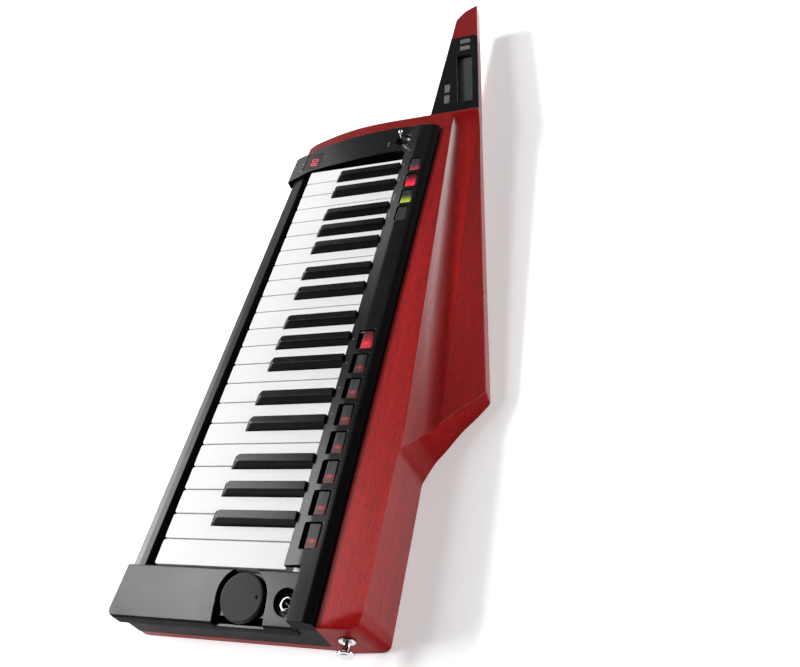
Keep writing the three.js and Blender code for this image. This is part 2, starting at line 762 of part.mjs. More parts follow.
function controlPanel() {
  let panel = underPanel(0, -PANEL_SKIRT).intersect(plate(panelOutline(0), -PANEL_SKIRT, OVERRUN * 2));
  const hollowPlan = plate(panelOutline(PANEL_WALL), -PANEL_SKIRT - OVERRUN, OVERRUN * 2);
  let hollow = underPanel(PANEL_WALL, -PANEL_SKIRT - OVERRUN).intersect(hollowPlan);
  const cup = DISH_DEPTH + PANEL_WALL;
  const cupSolid = disc(DISH_RADIUS + PANEL_WALL, -cup, 0, 24, standAt(dishX, dishY, dishTop));
  hollow = hollow.subtract(cupSolid);
  panel = panel.subtract(hollow);
  const keyRoom = block(
    STRIP_INNER - OVERRUN,
    AXLE_X + HOOK_RADIUS + HOOK_WALL + SIDE_GAP,
    -END_GAP,
    KEYS_END + SIDE_GAP,
    -PANEL_SKIRT - OVERRUN,
    STRIP_LIP,
  );
  panel = panel.subtract(keyRoom);
  const dish = turned(
    [
      [0, -DISH_DEPTH], [DISH_FLOOR_RADIUS, -DISH_DEPTH], [DISH_RADIUS, 0],
      [DISH_RADIUS + OVERRUN / 2, OVERRUN], [0, OVERRUN],
    ],
    24,
    standAt(dishX, dishY, dishTop),
  );
  panel = panel.subtract(dish);
  const throat = LEVER_BALL_RADIUS + SEAT_GAP;
  panel = panel.subtract(disc(throat, -2 * cup, 0, 16, standAt(dishX, dishY, dishTop)));
  for (let i = 0; i < FAVOURITE_COUNT; i += 1) {
    const slot = rectangle(FAVOURITE_X, favouriteY(i), FAVOURITE_SLOT_WIDTH, FAVOURITE_SLOT_LENGTH);
    panel = panel.subtract(plate(slot, -OVERRUN, OVERRUN * 2));
  }
  for (let i = 0; i < FUNCTION_COUNT; i += 1) {
    const slot = rectangle(FUNCTION_X, functionY(i), FUNCTION_SLOT_WIDTH, FUNCTION_SLOT_LENGTH);
    panel = panel.subtract(plate(slot, -OVERRUN, OVERRUN * 2));
  }
  const frame = rectangle(DISPLAY_X, DISPLAY_Y, DISPLAY_WIDTH, DISPLAY_LENGTH);
  const above = plate(frame, -OVERRUN, 2 * OVERRUN);
  return panel.subtract(panelLayer(-OVERRUN, DISPLAY_THICK + SEAT_GAP).intersect(above));
}

addPart('control_panel', controlPanel(), blackPanel);

function displayWindow() {
  const width = DISPLAY_WIDTH - 2 * SEAT_GAP;
  const length = DISPLAY_LENGTH - 2 * SEAT_GAP;
  const plan = plate(rectangle(DISPLAY_X, DISPLAY_Y, width, length), -OVERRUN, 2 * OVERRUN);
  return panelLayer(0, DISPLAY_THICK).intersect(plan);
}

addPart('display_window', displayWindow(), displaySmoke);

// Buttons in the strip: a cap in each slot, held by a flange under the panel

function buttonCap(x, y, slotWidth, slotLength) {
  const width = slotWidth - 2 * BUTTON_GAP;
  const length = slotLength - 2 * BUTTON_GAP;
  const top = PANEL_CREST_RISE - BUTTON_SINK;
  const low = BUTTON_FLANGE_TOP - BUTTON_FLANGE_THICK;
  const profile = [
    [x - width / 2, low],
    [x + width / 2, low],
    [x + width / 2, top - BUTTON_EDGE],
    [x + width / 2 - BUTTON_EDGE, top],
    [x - width / 2 + 2 * BUTTON_EDGE, top],
    [x - width / 2, top - 2 * BUTTON_EDGE],
  ];
  return barAlongY(profile, y - length / 2, y + length / 2);
}

function flange(x, low, high, slotWidth) {
  const half = slotWidth / 2 + BUTTON_FLANGE;
  const drop = PANEL_CREST_RISE - PANEL_INNER_RISE;
  const top = BUTTON_FLANGE_TOP - drop;
  return block(x - half, x + half, low, high, top - BUTTON_FLANGE_THICK, top)
    .add(block(
      x - slotWidth / 2 + BUTTON_GAP,
      x + slotWidth / 2 - BUTTON_GAP,
      low + BUTTON_FLANGE + BUTTON_GAP,
      high - BUTTON_FLANGE - BUTTON_GAP,
      top - BUTTON_FLANGE_THICK,
      BUTTON_FLANGE_TOP - BUTTON_FLANGE_THICK / 2,
    ));
}

for (let i = 0; i < FUNCTION_COUNT; i += 1) {
  const y = functionY(i);
  const half = FUNCTION_SLOT_LENGTH / 2 + BUTTON_FLANGE;
  const button = buttonCap(FUNCTION_X, y, FUNCTION_SLOT_WIDTH, FUNCTION_SLOT_LENGTH)
    .add(flange(FUNCTION_X, y - half, y + half, FUNCTION_SLOT_WIDTH));
  addPart(`function_button_${FUNCTION_COUNT - i}`, button, buttonGrey);
}

// The eight favourite buttons are one moulding: the caps stand on a common flange
function favouriteButtons() {
  const half = FAVOURITE_SLOT_LENGTH / 2 + BUTTON_FLANGE;
  const low = favouriteY(0) - half;
  const high = favouriteY(FAVOURITE_COUNT - 1) + half;
  let strip = flange(FAVOURITE_X, low, high, FAVOURITE_SLOT_WIDTH);
  for (let i = 0; i < FAVOURITE_COUNT; i += 1) {
    const cap = buttonCap(FAVOURITE_X, favouriteY(i), FAVOURITE_SLOT_WIDTH, FAVOURITE_SLOT_LENGTH);
    strip = strip.add(cap);
  }
  return strip;
}

addPart('favourite_buttons', favouriteButtons(), buttonGrey);

// Two-way lever in its dish

function toggleLever() {
  const ball = LEVER_BALL_RADIUS;
  const stem = LEVER_STEM_RADIUS;
  const tip = LEVER_TIP_RADIUS;
  const profile = [[0, -ball]];
  const ballSteps = 5;
  const stemStart = Math.asin(stem / ball);
  for (let i = 1; i <= ballSteps; i += 1) {
    const angle = mix(Math.PI, stemStart, i / ballSteps);
    profile.push([ball * Math.sin(angle), ball * Math.cos(angle)]);
  }
  const rise = LEVER_RISE + DISH_DEPTH;
  profile.push([tip, rise - tip]);
  profile.push([tip * Math.SQRT1_2, rise - tip + tip * Math.SQRT1_2]);
  profile.push([0, rise]);
  return turned(profile, 14, standAt(dishX, dishY, dishTop - DISH_DEPTH));
}

addPart('toggle_lever', toggleLever(), chrome);

// End panel, sloping away from the keys to the tail, with the value dial and a jack

const slopeLength = BODY_TAIL - END_GAP;

function endTopZ(y) {
  return END_TOP_RISE + END_FALL * (y + END_GAP) / slopeLength;
}

const dialSeat = new THREE.Matrix4().makeRotationX(END_SLOPE);
dialSeat.setPosition(DIAL_X, -DIAL_Y, endTopZ(-DIAL_Y));

function dialRecessOutline(grow) {
  const radius = DIAL_RECESS_RADIUS + grow;
  const arcSteps = 14;
  const points = [];
  for (let i = 0; i <= arcSteps; i += 1) {
    const angle = Math.PI * i / arcSteps;
    points.push([radius * Math.cos(angle), radius * Math.sin(angle)]);
  }
  points.push([-radius, -BODY_TAIL]);
  points.push([radius, -BODY_TAIL]);
  return points;
}

function endPanel() {
  const profile = [
    [-END_GAP, endTopZ(-END_GAP)],
    [-BODY_TAIL, endTopZ(-BODY_TAIL)],
    [-BODY_TAIL, -END_LIP],
    [-END_GAP, -END_LIP],
  ];
  const wall = PANEL_WALL;
  const inner = [
    [-END_GAP - wall, endTopZ(-END_GAP - wall) - wall],
    [-BODY_TAIL + wall, endTopZ(-BODY_TAIL + wall) - wall],
    [-BODY_TAIL + wall, -END_LIP - OVERRUN],
    [-END_GAP - wall, -END_LIP - OVERRUN],
  ];
  const plan = plate(
    [
      [-END_LEFT, -END_GAP],
      [-END_LEFT - END_FLARE, -BODY_TAIL + END_CORNER],
      [-END_LEFT - END_FLARE + END_CORNER, -BODY_TAIL],
      [END_WIDTH, -BODY_TAIL],
      [END_WIDTH, -END_GAP],
    ],
    -END_LIP,
    OVERRUN,
  );
  const shell = barAlongX(profile, -END_LEFT - END_FLARE, END_WIDTH).intersect(plan);
  let hollow = barAlongX(inner, -END_LEFT + wall, END_WIDTH - wall);
  const well = DIAL_RECESS_DEPTH + wall;
  hollow = hollow.subtract(plate(dialRecessOutline(wall), -well, 0, dialSeat));
  const jackAt = standAt(JACK_X, -JACK_Y, 0);
  hollow = hollow.subtract(disc(JACK_RECESS_RADIUS + wall, -JACK_FLOOR - wall, 0, 24, jackAt));
  let panel = shell.subtract(hollow);
  panel = panel.subtract(plate(dialRecessOutline(0), -DIAL_RECESS_DEPTH, OVERRUN, dialSeat));
  panel = panel.subtract(disc(DIAL_SHAFT_RADIUS + SEAT_GAP, -2 * well, 0, 16, dialSeat));
  panel = panel.subtract(disc(JACK_RECESS_RADIUS, -JACK_FLOOR, OVERRUN, 24, jackAt));
  return panel.subtract(disc(JACK_COLLAR_RADIUS + SEAT_GAP, -END_LIP, 0, 16, jackAt));
}

addPart('end_panel', endPanel(), blackPanel);

function valueDial() {
  const top = -DIAL_SINK;
  const base = top - DIAL_THICK;
  const knob = turned(
    [
      [0, base - DIAL_SHAFT], [DIAL_SHAFT_RADIUS, base - DIAL_SHAFT], [DIAL_SHAFT_RADIUS, base],
      [DIAL_RADIUS, base], [DIAL_RADIUS, top - DIAL_EDGE], [DIAL_RADIUS - DIAL_EDGE, top], [0, top],
    ],
    36,
    dialSeat,
  );
  const dimple = turned(
    [
      [0, top - DIMPLE_DEPTH], [DIMPLE_RADIUS, top], [DIMPLE_RADIUS, top + OVERRUN],
      [0, top + OVERRUN],
    ],
    10,
    dialSeat.clone().multiply(standAt(DIMPLE_OUT, 0, 0)),
  );
  return knob.subtract(dimple);
}

addPart('value_dial', valueDial(), dialGrey);

function micJack() {
  const seat = -JACK_FLOOR + SEAT_GAP;
  const at = standAt(JACK_X, -JACK_Y, 0);
  const nutTop = seat + JACK_NUT_THICK;
  const collarTop = nutTop + JACK_COLLAR;
  const boxTop = -JACK_FLOOR - PANEL_WALL - SEAT_GAP;
  let jack = disc(JACK_NUT_RADIUS, seat, nutTop, 6, at);
  jack = jack.add(disc(JACK_COLLAR_RADIUS, boxTop - SEAT_GAP, collarTop, 16, at));
  const half = JACK_BODY / 2;
  const box = block(
    JACK_X - half, JACK_X + half, -JACK_Y - half, -JACK_Y + half, boxTop - JACK_BODY_DEPTH, boxTop,
  );
  jack = jack.add(box);
  const boreEnd = boxTop - JACK_BODY_DEPTH + PANEL_WALL;
  return jack.subtract(disc(JACK_BORE_RADIUS, boreEnd, collarTop + OVERRUN, 16, at));
}

addPart('mic_jack', micJack(), chrome);

// The long ribbon controller is a rail in front of the keys, flat beside them and rounded outside

function longRibbon() {
  const outer = -RAIL_OUTER;
  const inner = -RAIL_OUTER + RAIL_WIDTH;
  const profile = [
    [outer, -RAIL_BASE], [inner, -RAIL_BASE], [inner, -RAIL_TOP - RAIL_EDGE], [inner - RAIL_EDGE, -RAIL_TOP],
  ];
  const steps = 6;
  for (let i = 0; i <= steps; i += 1) {
    const angle = Math.PI * i / steps / 2;
    profile.push([
      outer + RAIL_ROUND - Math.sin(angle) * RAIL_ROUND,
      -RAIL_SHOULDER + Math.cos(angle) * (RAIL_SHOULDER - RAIL_TOP),
    ]);
  }
  const rail = barAlongY(profile, -END_GAP + SIDE_GAP, KEYS_END);
  const arm = [...armOuter(SIDE_GAP), ...armInner(SIDE_GAP)];
  return rail.subtract(plate(arm, -RAIL_BASE - OVERRUN, OVERRUN));
}

addPart('long_ribbon', longRibbon(), ribbonGrey);

// Black chassis: a tray on the wooden floor that carries the panels and the keys

function chassisOutline(inset) {
  const rim = armOuter(-inset).filter(([x]) => x > -CHASSIS_LEFT + inset);
  const last = armOuter(-inset)[ARM_OUTER_SHARES.length - 1];
  return [
    [-CHASSIS_LEFT + inset, -CHASSIS_TAIL + inset],
    [PANEL_RIGHT - inset, -CHASSIS_TAIL + inset],
    ...rim,
    [-CHASSIS_LEFT + inset, last[1]],
  ];
}

function chassis() {
  const wallTop = -PANEL_SKIRT - SEAT_GAP;
  let tray = plate(chassisOutline(0), CHASSIS_BASE, wallTop);
  tray = tray.subtract(plate(chassisOutline(CHASSIS_WALL), CHASSIS_TOP_OF_FLOOR, OVERRUN));
  const railSeat = -RAIL_BASE - SEAT_GAP;
  const railEnd = KEYS_END;
  tray = tray.subtract(block(
    -CHASSIS_LEFT - OVERRUN, -RAIL_OUTER + RAIL_WIDTH, -CHASSIS_TAIL - OVERRUN, railEnd, railSeat, OVERRUN,
  ));
  const endSeat = -END_LIP - SEAT_GAP;
  const lowEnd = -END_GAP + SIDE_GAP;
  tray = tray.subtract(block(
    -CHASSIS_LEFT - OVERRUN, END_WIDTH + SEAT_GAP, -CHASSIS_TAIL - OVERRUN, lowEnd, endSeat, OVERRUN,
  ));
  tray = tray.add(block(
    -CHASSIS_LEFT, -RAIL_OUTER + RAIL_WIDTH, lowEnd, railEnd, railSeat - CHASSIS_WALL, railSeat,
  ));
  const ribTop = -AXLE_DROP - AXLE_RADIUS - SEAT_GAP;
  const rib = RIB_WIDTH / 2;
  tray = tray.add(block(AXLE_X - rib, AXLE_X + rib, 0, KEYS_END, CHASSIS_BASE, ribTop));
  tray = tray.add(block(
    STOP_BAR_X, STOP_BAR_X + STOP_BAR_WIDTH, 0, KEYS_END, CHASSIS_BASE, -STOP_BAR_DROP,
  ));
  const post = POST_WIDTH / 2;
  for (const y of [-POST_THICK, KEYS_END]) {
    tray = tray.add(block(
      AXLE_X - post, AXLE_X + post, y, y + POST_THICK, CHASSIS_BASE, -AXLE_DROP + SEAT_GAP,
    ));
  }
  const groove = [];
  const grooveSides = 12;
  for (let i = 0; i < grooveSides; i += 1) {
    const angle = 2 * Math.PI * i / grooveSides;
    groove.push([
      AXLE_X + HOOK_RADIUS * Math.cos(angle),
      -AXLE_DROP + HOOK_RADIUS * Math.sin(angle),
    ]);
  }
  tray = tray.subtract(barAlongY(groove, -POST_THICK - OVERRUN, KEYS_END + POST_THICK + OVERRUN));
  const wall = 2 * BATTERY_WALL;
  const roof = CHASSIS_BASE + BATTERY_DEPTH;
  const bay = rectangle(BATTERY_X, BATTERY_Y, BATTERY_WIDTH + wall, BATTERY_LENGTH + wall);
  tray = tray.add(plate(bay, CHASSIS_BASE, roof + BATTERY_WALL));
  const room = rectangle(BATTERY_X, BATTERY_Y, BATTERY_WIDTH, BATTERY_LENGTH);
  return tray.subtract(plate(room, CHASSIS_BASE - OVERRUN, roof));
}

addPart('lower_chassis', chassis(), blackShell);

function batteryCover() {
  const lap = 2 * COVER_LAP - 2 * SEAT_GAP;
  const outline = rectangle(BATTERY_X, BATTERY_Y, BATTERY_WIDTH + lap, BATTERY_LENGTH + lap);
  const low = BACK_Z + COVER_SINK;
  return plate(outline, low, low + COVER_THICK);
}

addPart('battery_cover', batteryCover(), blackShell);

function mainBoard() {
  const low = CHASSIS_TOP_OF_FLOOR + SEAT_GAP;
  const top = low + BOARD_THICK;
  let board = block(BOARD_X, BOARD_X + BOARD_WIDTH, BOARD_Y, BOARD_Y + BOARD_LENGTH, low, top);
  for (let i = 0; i < CHIP_COUNT; i += 1) {
    const x = BOARD_X + BOARD_WIDTH / 2;
    const y = BOARD_Y + BOARD_LENGTH * (i + 1) / (CHIP_COUNT + 1);
    const half = CHIP_SIZE / 2;
    board = board.add(block(x - half, x + half, y - half, y + half, low, top + CHIP_THICK));
  }
  return board;
}

addPart('main_board', mainBoard(), boardGreen);

// Neck panel with its ribbon and two pairs of buttons

const ribbonSlot = [
  [NECK_LEFT + RIBBON_TOP_LEFT, neckPanelStart + RIBBON_TOP_Y],
  [NECK_LEFT + RIBBON_LOW_LEFT, neckPanelStart + RIBBON_LOW_Y],
  [NECK_LEFT + RIBBON_LOW_LEFT + RIBBON_LOW_WIDTH, neckPanelStart + RIBBON_LOW_Y],
  [NECK_LEFT + RIBBON_TOP_LEFT + RIBBON_TOP_WIDTH, neckPanelStart + RIBBON_TOP_Y],
];

const octavePair = {
  x: NECK_LEFT + OCTAVE_X,
  y: neckPanelStart + OCTAVE_Y,
  stepX: OCTAVE_STEP_X,
  stepY: OCTAVE_STEP_Y,
  width: OCTAVE_WIDTH,
  length: OCTAVE_LENGTH,
};

const modePair = {
  x: NECK_LEFT + MODE_X,
  y: neckPanelStart + MODE_Y,
  stepX: MODE_STEP_X,
  stepY: MODE_STEP_Y,
  width: MODE_WIDTH,
  length: MODE_LENGTH,
};

// Two buttons, whose sides lean along the line from one to the other
function pairOutlines(pair, grow) {
  return [-0.5, 0.5].map((side) => {
    const y = pair.y + side * pair.stepY;
    const x = pair.x + side * pair.stepX;
    const upright = rectangle(x, y, pair.width + 2 * grow, pair.length + 2 * grow);
    return upright.map(([px, py]) => [px + (py - y) * pair.stepX / pair.stepY, py]);
  });
}

function neckPanel() {
  const top = NECK_TOP;
  const outline = [
    [NECK_LEFT, neckPanelStart],
    [neckRightX(neckPanelStart), neckPanelStart],
    ...neckPanelCorner(0),
    [NECK_LEFT, neckPanelEnd],
  ];
  let panel = plate(outline, top - NECK_PANEL_THICK, top);
  const inset = NECK_WELL_INSET + SEAT_GAP;
  const inner = neckOutline(neckPanelStart, neckPanelEnd, inset);
  panel = panel.add(plate(inner, top - RIBBON_SINK, top - NECK_PANEL_THICK / 2));
  const chamber = inset + NECK_PANEL_WALL;
  const pads = [octavePair, modePair].map((pair) => rectangle(
    pair.x,
    pair.y,
    pair.width + Math.abs(pair.stepX) + 2 * BUTTON_FLANGE + 2 * NECK_BUTTON_GAP,
    pair.length + Math.abs(pair.stepY) + 2 * BUTTON_FLANGE + 2 * NECK_BUTTON_GAP,
  ));
  for (const pad of pads) {
    const room = plate(neckOutline(neckPanelStart, neckPanelEnd, chamber), top - 2 * NECK_WELL_DEPTH, top)
      .intersect(plate(pad, top - 2 * NECK_WELL_DEPTH, top - NECK_PANEL_THICK));
    panel = panel.subtract(room);
  }
  panel = panel.subtract(plate(ribbonSlot, top - NECK_WELL_DEPTH, top + OVERRUN));
  for (const pair of [octavePair, modePair]) {
    for (const slot of pairOutlines(pair, NECK_BUTTON_GAP)) {
      panel = panel.subtract(plate(slot, top - NECK_WELL_DEPTH, top + OVERRUN));
    }
  }
  return panel;
}

addPart('neck_panel', neckPanel(), blackPanel);

function neckRibbon() {
  const top = NECK_TOP - RIBBON_SINK - SEAT_GAP;
  const inset = NECK_WELL_INSET + SEAT_GAP;
  const plan = ribbonSlot.map(([x, y], i) => [
    x + (i === 0 || i === 1 ? -BUTTON_FLANGE : BUTTON_FLANGE),
    y + (i === 1 || i === 2 ? -BUTTON_FLANGE : BUTTON_FLANGE),
  ]);
  const room = plate(neckOutline(neckPanelStart, neckPanelEnd, inset), top - NECK_WELL_DEPTH, 0);
  return plate(plan, top - RIBBON_THICK, top).intersect(room);
}

addPart('neck_ribbon', neckRibbon(), ribbonGrey);

// Each pair of neck buttons is one moulding on a common flange
function buttonPair(pair) {
  const flangeTop = NECK_TOP - NECK_PANEL_THICK - SEAT_GAP;
  const half = BUTTON_FLANGE - NECK_BUTTON_GAP;
  let solid = plate(
    rectangle(
      pair.x,
      pair.y,
      pair.width + Math.abs(pair.stepX) + 2 * half,
      pair.length + Math.abs(pair.stepY) + 2 * half,
    ),
    flangeTop - BUTTON_FLANGE_THICK,
    flangeTop,
  );
  for (const cap of pairOutlines(pair, 0)) {
    solid = solid.add(plate(cap, flangeTop - BUTTON_FLANGE_THICK / 2, NECK_TOP + NECK_BUTTON_RISE));
  }
  return solid;
}

addPart('octave_buttons', buttonPair(octavePair), buttonGrey);
addPart('mode_buttons', buttonPair(modePair), buttonGrey);

// Strap pins

function strapPin(matrix) {
  const start = SEAT_GAP;
  const waistStart = start + PIN_COLLAR;
  const headStart = start + PIN_LENGTH - PIN_HEAD;
  return turned(
    [
      [0, start], [PIN_COLLAR_RADIUS, start], [PIN_COLLAR_RADIUS, start + PIN_COLLAR / 2],
      [PIN_WAIST_RADIUS, waistStart], [PIN_WAIST_RADIUS, headStart],
      [PIN_HEAD_RADIUS, headStart + PIN_HEAD / 3], [PIN_HEAD_RADIUS, headStart + PIN_HEAD * 2 / 3],
      [PIN_CROWN_RADIUS, start + PIN_LENGTH], [0, start + PIN_LENGTH],
    ],
    16,
    matrix,
  );
}

const skewRun = SIDE_TOP + SIDE_FLARE - DECK_INNER;
const skewAngle = Math.atan(TAIL_SKEW / skewRun);
const tailPin = new THREE.Matrix4().makeRotationZ(skewAngle)
  .multiply(new THREE.Matrix4().makeRotationX(Math.PI / 2));
tailPin.setPosition(PIN_X, -WOOD_TAIL + TAIL_SKEW * (PIN_X - DECK_INNER) / skewRun, -PIN_DROP);
addPart('strap_pin_tail', strapPin(tailPin), chrome);

const heelPin = new THREE.Matrix4().makeRotationX(Math.PI);
heelPin.setPosition(NECK_LEFT + HEEL_PIN_IN, SHOULDER_Y + HEEL_PIN_Y, NECK_TOP - NECK_THICK);
addPart('strap_pin_neck', strapPin(heelPin), chrome);

// Keys, hooked over one axle under the strip

const keyAxle = [];
const axleSides = 12;
for (let i = 0; i < axleSides; i += 1) {
  const angle = 2 * Math.PI * i / axleSides;
  keyAxle.push([AXLE_X + AXLE_RADIUS * Math.cos(angle), -AXLE_DROP + AXLE_RADIUS * Math.sin(angle)]);
}
addPart('key_axle', barAlongY(keyAxle, -AXLE_BEARING, KEYS_END + AXLE_BEARING), steel);

// The rear of every key: it steps down under the strip and ends in a hook over the axle
function hookProfile() {
  const rear = AXLE_X + HOOK_RADIUS + HOOK_WALL;
  const front = AXLE_X - HOOK_RADIUS - HOOK_WALL;
  const foot = -AXLE_DROP - HOOK_RADIUS;
  const points = [
    [KEY_SHOW + KEY_STEP_RUN, -KEY_STEP_DROP],
    [rear - HOOK_WALL, -KEY_STEP_DROP],
    [rear, -KEY_STEP_DROP - HOOK_WALL],
    [rear, foot],
    [AXLE_X + HOOK_RADIUS, foot],
  ];
  const steps = 5;
  for (let i = 0; i <= steps; i += 1) {
    const angle = Math.PI * i / steps;
    points.push([
      AXLE_X + HOOK_RADIUS * Math.cos(angle),
      -AXLE_DROP + HOOK_RADIUS * Math.sin(angle),
    ]);
  }
  points.push([AXLE_X - HOOK_RADIUS, foot], [front, foot], [front - HOOK_WALL, -WHITE_THICK]);
  return points;
}

const whiteProfile = [
  [0, -WHITE_LIP],
  [0, -KEY_EDGE],
  [KEY_EDGE, 0],
  [KEY_SHOW, 0],
  ...hookProfile(),
  [WHITE_LIP_DEPTH, -WHITE_THICK],
  [WHITE_LIP_DEPTH - KEY_STEP_DROP, -WHITE_LIP],
];

const blackEnd = KEY_SHOW - BLACK_END_GAP;
const blackProfile = [
  [BLACK_START + KEY_EDGE, -WHITE_THICK],
  [BLACK_START, 0],
  [BLACK_START + BLACK_FRONT_RUN - BLACK_ROUND, BLACK_RISE - 2 * BLACK_ROUND],
  [BLACK_START + BLACK_FRONT_RUN, BLACK_RISE - BLACK_ROUND / 2],
  [BLACK_START + BLACK_FRONT_RUN + 2 * BLACK_ROUND, BLACK_RISE],
  [blackEnd, BLACK_RISE],
  [blackEnd, -KEY_STEP_DROP],
  ...hookProfile(),
];

// Keys are counted in white keys from the tail, where the highest note is
function noteAt(i) {
  return TAIL_TO_NECK_NOTES[i % OCTAVE_WHITES];
}

function octaveAt(i) {
  return TOP_OCTAVE - Math.floor((i + OCTAVE_WHITES - 1) / OCTAVE_WHITES);
}

// A black key stands between white key i and the one before it, nearer the tail
function blackCentre(i) {
  const share = BLACK_PLACE_SHARES[noteAt(i)];
  if (i === 0 || share === undefined) return null;
  return WHITE_PITCH * (i + share);
}

function whiteKeySolid(i) {
  const low = i * WHITE_PITCH + KEY_GAP / 2;
  const high = (i + 1) * WHITE_PITCH - KEY_GAP / 2;
  const reach = AXLE_X + HOOK_RADIUS + HOOK_WALL + OVERRUN;
  const soft = KEY_CORNER * (1 - Math.SQRT1_2);
  const plan = [
    [reach, low], [KEY_CORNER, low], [soft, low + soft], [0, low + KEY_CORNER],
    [0, high - KEY_CORNER], [soft, high - soft], [KEY_CORNER, high], [reach, high],
  ];
  let key = barAlongY(whiteProfile, low - OVERRUN, high + OVERRUN);
  key = key.intersect(plate(plan, -WHITE_LIP, OVERRUN));
  for (const centre of [blackCentre(i), blackCentre(i + 1)]) {
    if (centre === null) continue;
    const half = BLACK_FOOT / 2 + NOTCH_GAP;
    const notch = [
      [BLACK_START - NOTCH_GAP, centre - half], [reach + OVERRUN, centre - half],
      [reach + OVERRUN, centre + half], [BLACK_START - NOTCH_GAP, centre + half],
    ];
    key = key.subtract(plate(notch, -WHITE_LIP - OVERRUN, OVERRUN));
  }
  return key;
}

function blackKeySolid(centre) {
  const foot = BLACK_FOOT / 2;
  const crest = BLACK_CREST / 2;
  const round = BLACK_ROUND / 2;
  const low = -AXLE_DROP - HOOK_RADIUS - OVERRUN;
  const section = [
    [centre - foot, low], [centre + foot, low], [centre + foot, 0],
    [centre + crest, BLACK_RISE - round], [centre + crest - round, BLACK_RISE],
    [centre - crest + round, BLACK_RISE], [centre - crest, BLACK_RISE - round], [centre - foot, 0],
  ];
  const reach = AXLE_X + HOOK_RADIUS + HOOK_WALL + OVERRUN;
  return barAlongY(blackProfile, centre - BLACK_FOOT, centre + BLACK_FOOT)
    .intersect(barAlongX(section, BLACK_START - OVERRUN, reach));
}

for (let i = 0; i < WHITE_COUNT; i += 1) {
  const centre = blackCentre(i);
  if (centre !== null) {
    addPart(`key_${noteAt(i)}_sharp_${octaveAt(i)}`, blackKeySolid(centre), blackKey);
  }
  addPart(`key_${noteAt(i)}_${octaveAt(i)}`, whiteKeySolid(i), whiteKey);
}

// Set on its back, with the origin under the middle of the whole instrument
const extent = new THREE.Box3().setFromObject(model);
const middle = extent.getCenter(new THREE.Vector3());
model.position.set(-middle.x, -middle.y, -extent.min.z);
model.updateMatrixWorld(true);

export default model;
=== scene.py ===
import json
import math

import bmesh
import bpy
from mathutils import Euler, Matrix, Vector

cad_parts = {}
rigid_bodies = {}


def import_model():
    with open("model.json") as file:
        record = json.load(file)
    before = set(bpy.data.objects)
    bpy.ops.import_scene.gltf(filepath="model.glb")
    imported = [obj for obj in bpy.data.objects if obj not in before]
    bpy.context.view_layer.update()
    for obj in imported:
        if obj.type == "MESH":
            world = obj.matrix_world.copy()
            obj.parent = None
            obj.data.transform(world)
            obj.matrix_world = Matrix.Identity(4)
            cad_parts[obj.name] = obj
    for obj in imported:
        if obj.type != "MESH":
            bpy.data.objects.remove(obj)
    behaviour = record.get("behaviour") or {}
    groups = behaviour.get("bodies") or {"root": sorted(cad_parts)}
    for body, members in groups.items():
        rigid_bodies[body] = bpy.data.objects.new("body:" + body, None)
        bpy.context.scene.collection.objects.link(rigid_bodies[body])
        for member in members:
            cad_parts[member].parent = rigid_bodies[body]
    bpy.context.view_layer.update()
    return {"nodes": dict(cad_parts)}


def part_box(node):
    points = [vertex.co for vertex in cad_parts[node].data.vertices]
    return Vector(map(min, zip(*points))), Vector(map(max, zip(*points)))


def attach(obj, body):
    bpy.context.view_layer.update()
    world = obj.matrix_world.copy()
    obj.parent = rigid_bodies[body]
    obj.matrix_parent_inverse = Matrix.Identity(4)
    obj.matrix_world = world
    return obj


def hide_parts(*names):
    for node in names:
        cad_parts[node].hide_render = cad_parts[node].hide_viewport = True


for left_over in list(bpy.data.objects):
    bpy.data.objects.remove(left_over, do_unlink=True)
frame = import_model()

# Shapes are drawn in millimetres with the tail-side front corner of the key tops at the origin,
# X towards the wing, Y towards the neck and Z up. TO_ROW turns them into metres in the row frame.
MM = 0.001
AXLE_X = 128.0
AXLE_START = -3.0
AXLE_Z = -10.0
axle_low, axle_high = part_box("key_axle")
ORIGIN = Vector((
    (axle_low.x + axle_high.x) / 2 - AXLE_X * MM,
    axle_low.y - AXLE_START * MM,
    (axle_low.z + axle_high.z) / 2 - AXLE_Z * MM,
))
TO_ROW = Matrix.Translation(ORIGIN) @ Matrix.Scale(MM, 4)

PITCH = 21.0
WHITE_COUNT = 22
KEYS_LENGTH = WHITE_COUNT * PITCH
BACK = -47.0
FLOOR_TOP = -39.0
HIGH = 12.0
DEEP = -30.0


# Mesh helpers

def make_object(name, verts, faces, matrix=None):
    mesh = bpy.data.meshes.new(name)
    mesh.from_pydata([tuple(v) for v in verts], [], faces)
    bm = bmesh.new()
    bm.from_mesh(mesh)
    bmesh.ops.remove_doubles(bm, verts=bm.verts, dist=1e-4)
    bmesh.ops.dissolve_degenerate(bm, edges=bm.edges, dist=1e-5)
    bmesh.ops.recalc_face_normals(bm, faces=bm.faces)
    bm.to_mesh(mesh)
    bm.free()
    if matrix is not None:
        mesh.transform(matrix)
    obj = bpy.data.objects.new(name, mesh)
    bpy.context.scene.collection.objects.link(obj)
    return obj


def bake(obj):
    """Applies the object's modifiers to its mesh."""
    bpy.context.view_layer.update()
    graph = bpy.context.evaluated_depsgraph_get()
    mesh = bpy.data.meshes.new_from_object(obj.evaluated_get(graph))
    obj.modifiers.clear()
    old = obj.data
    obj.data = mesh
    mesh.name = obj.name
    bpy.data.meshes.remove(old)


def combine(obj, tools, operation="DIFFERENCE"):
    for tool in tools:
        modifier = obj.modifiers.new("cut", "BOOLEAN")
        modifier.operation = operation
        modifier.solver = "EXACT"
        modifier.object = tool
        bake(obj)
        bpy.data.objects.remove(tool, do_unlink=True)
    return obj


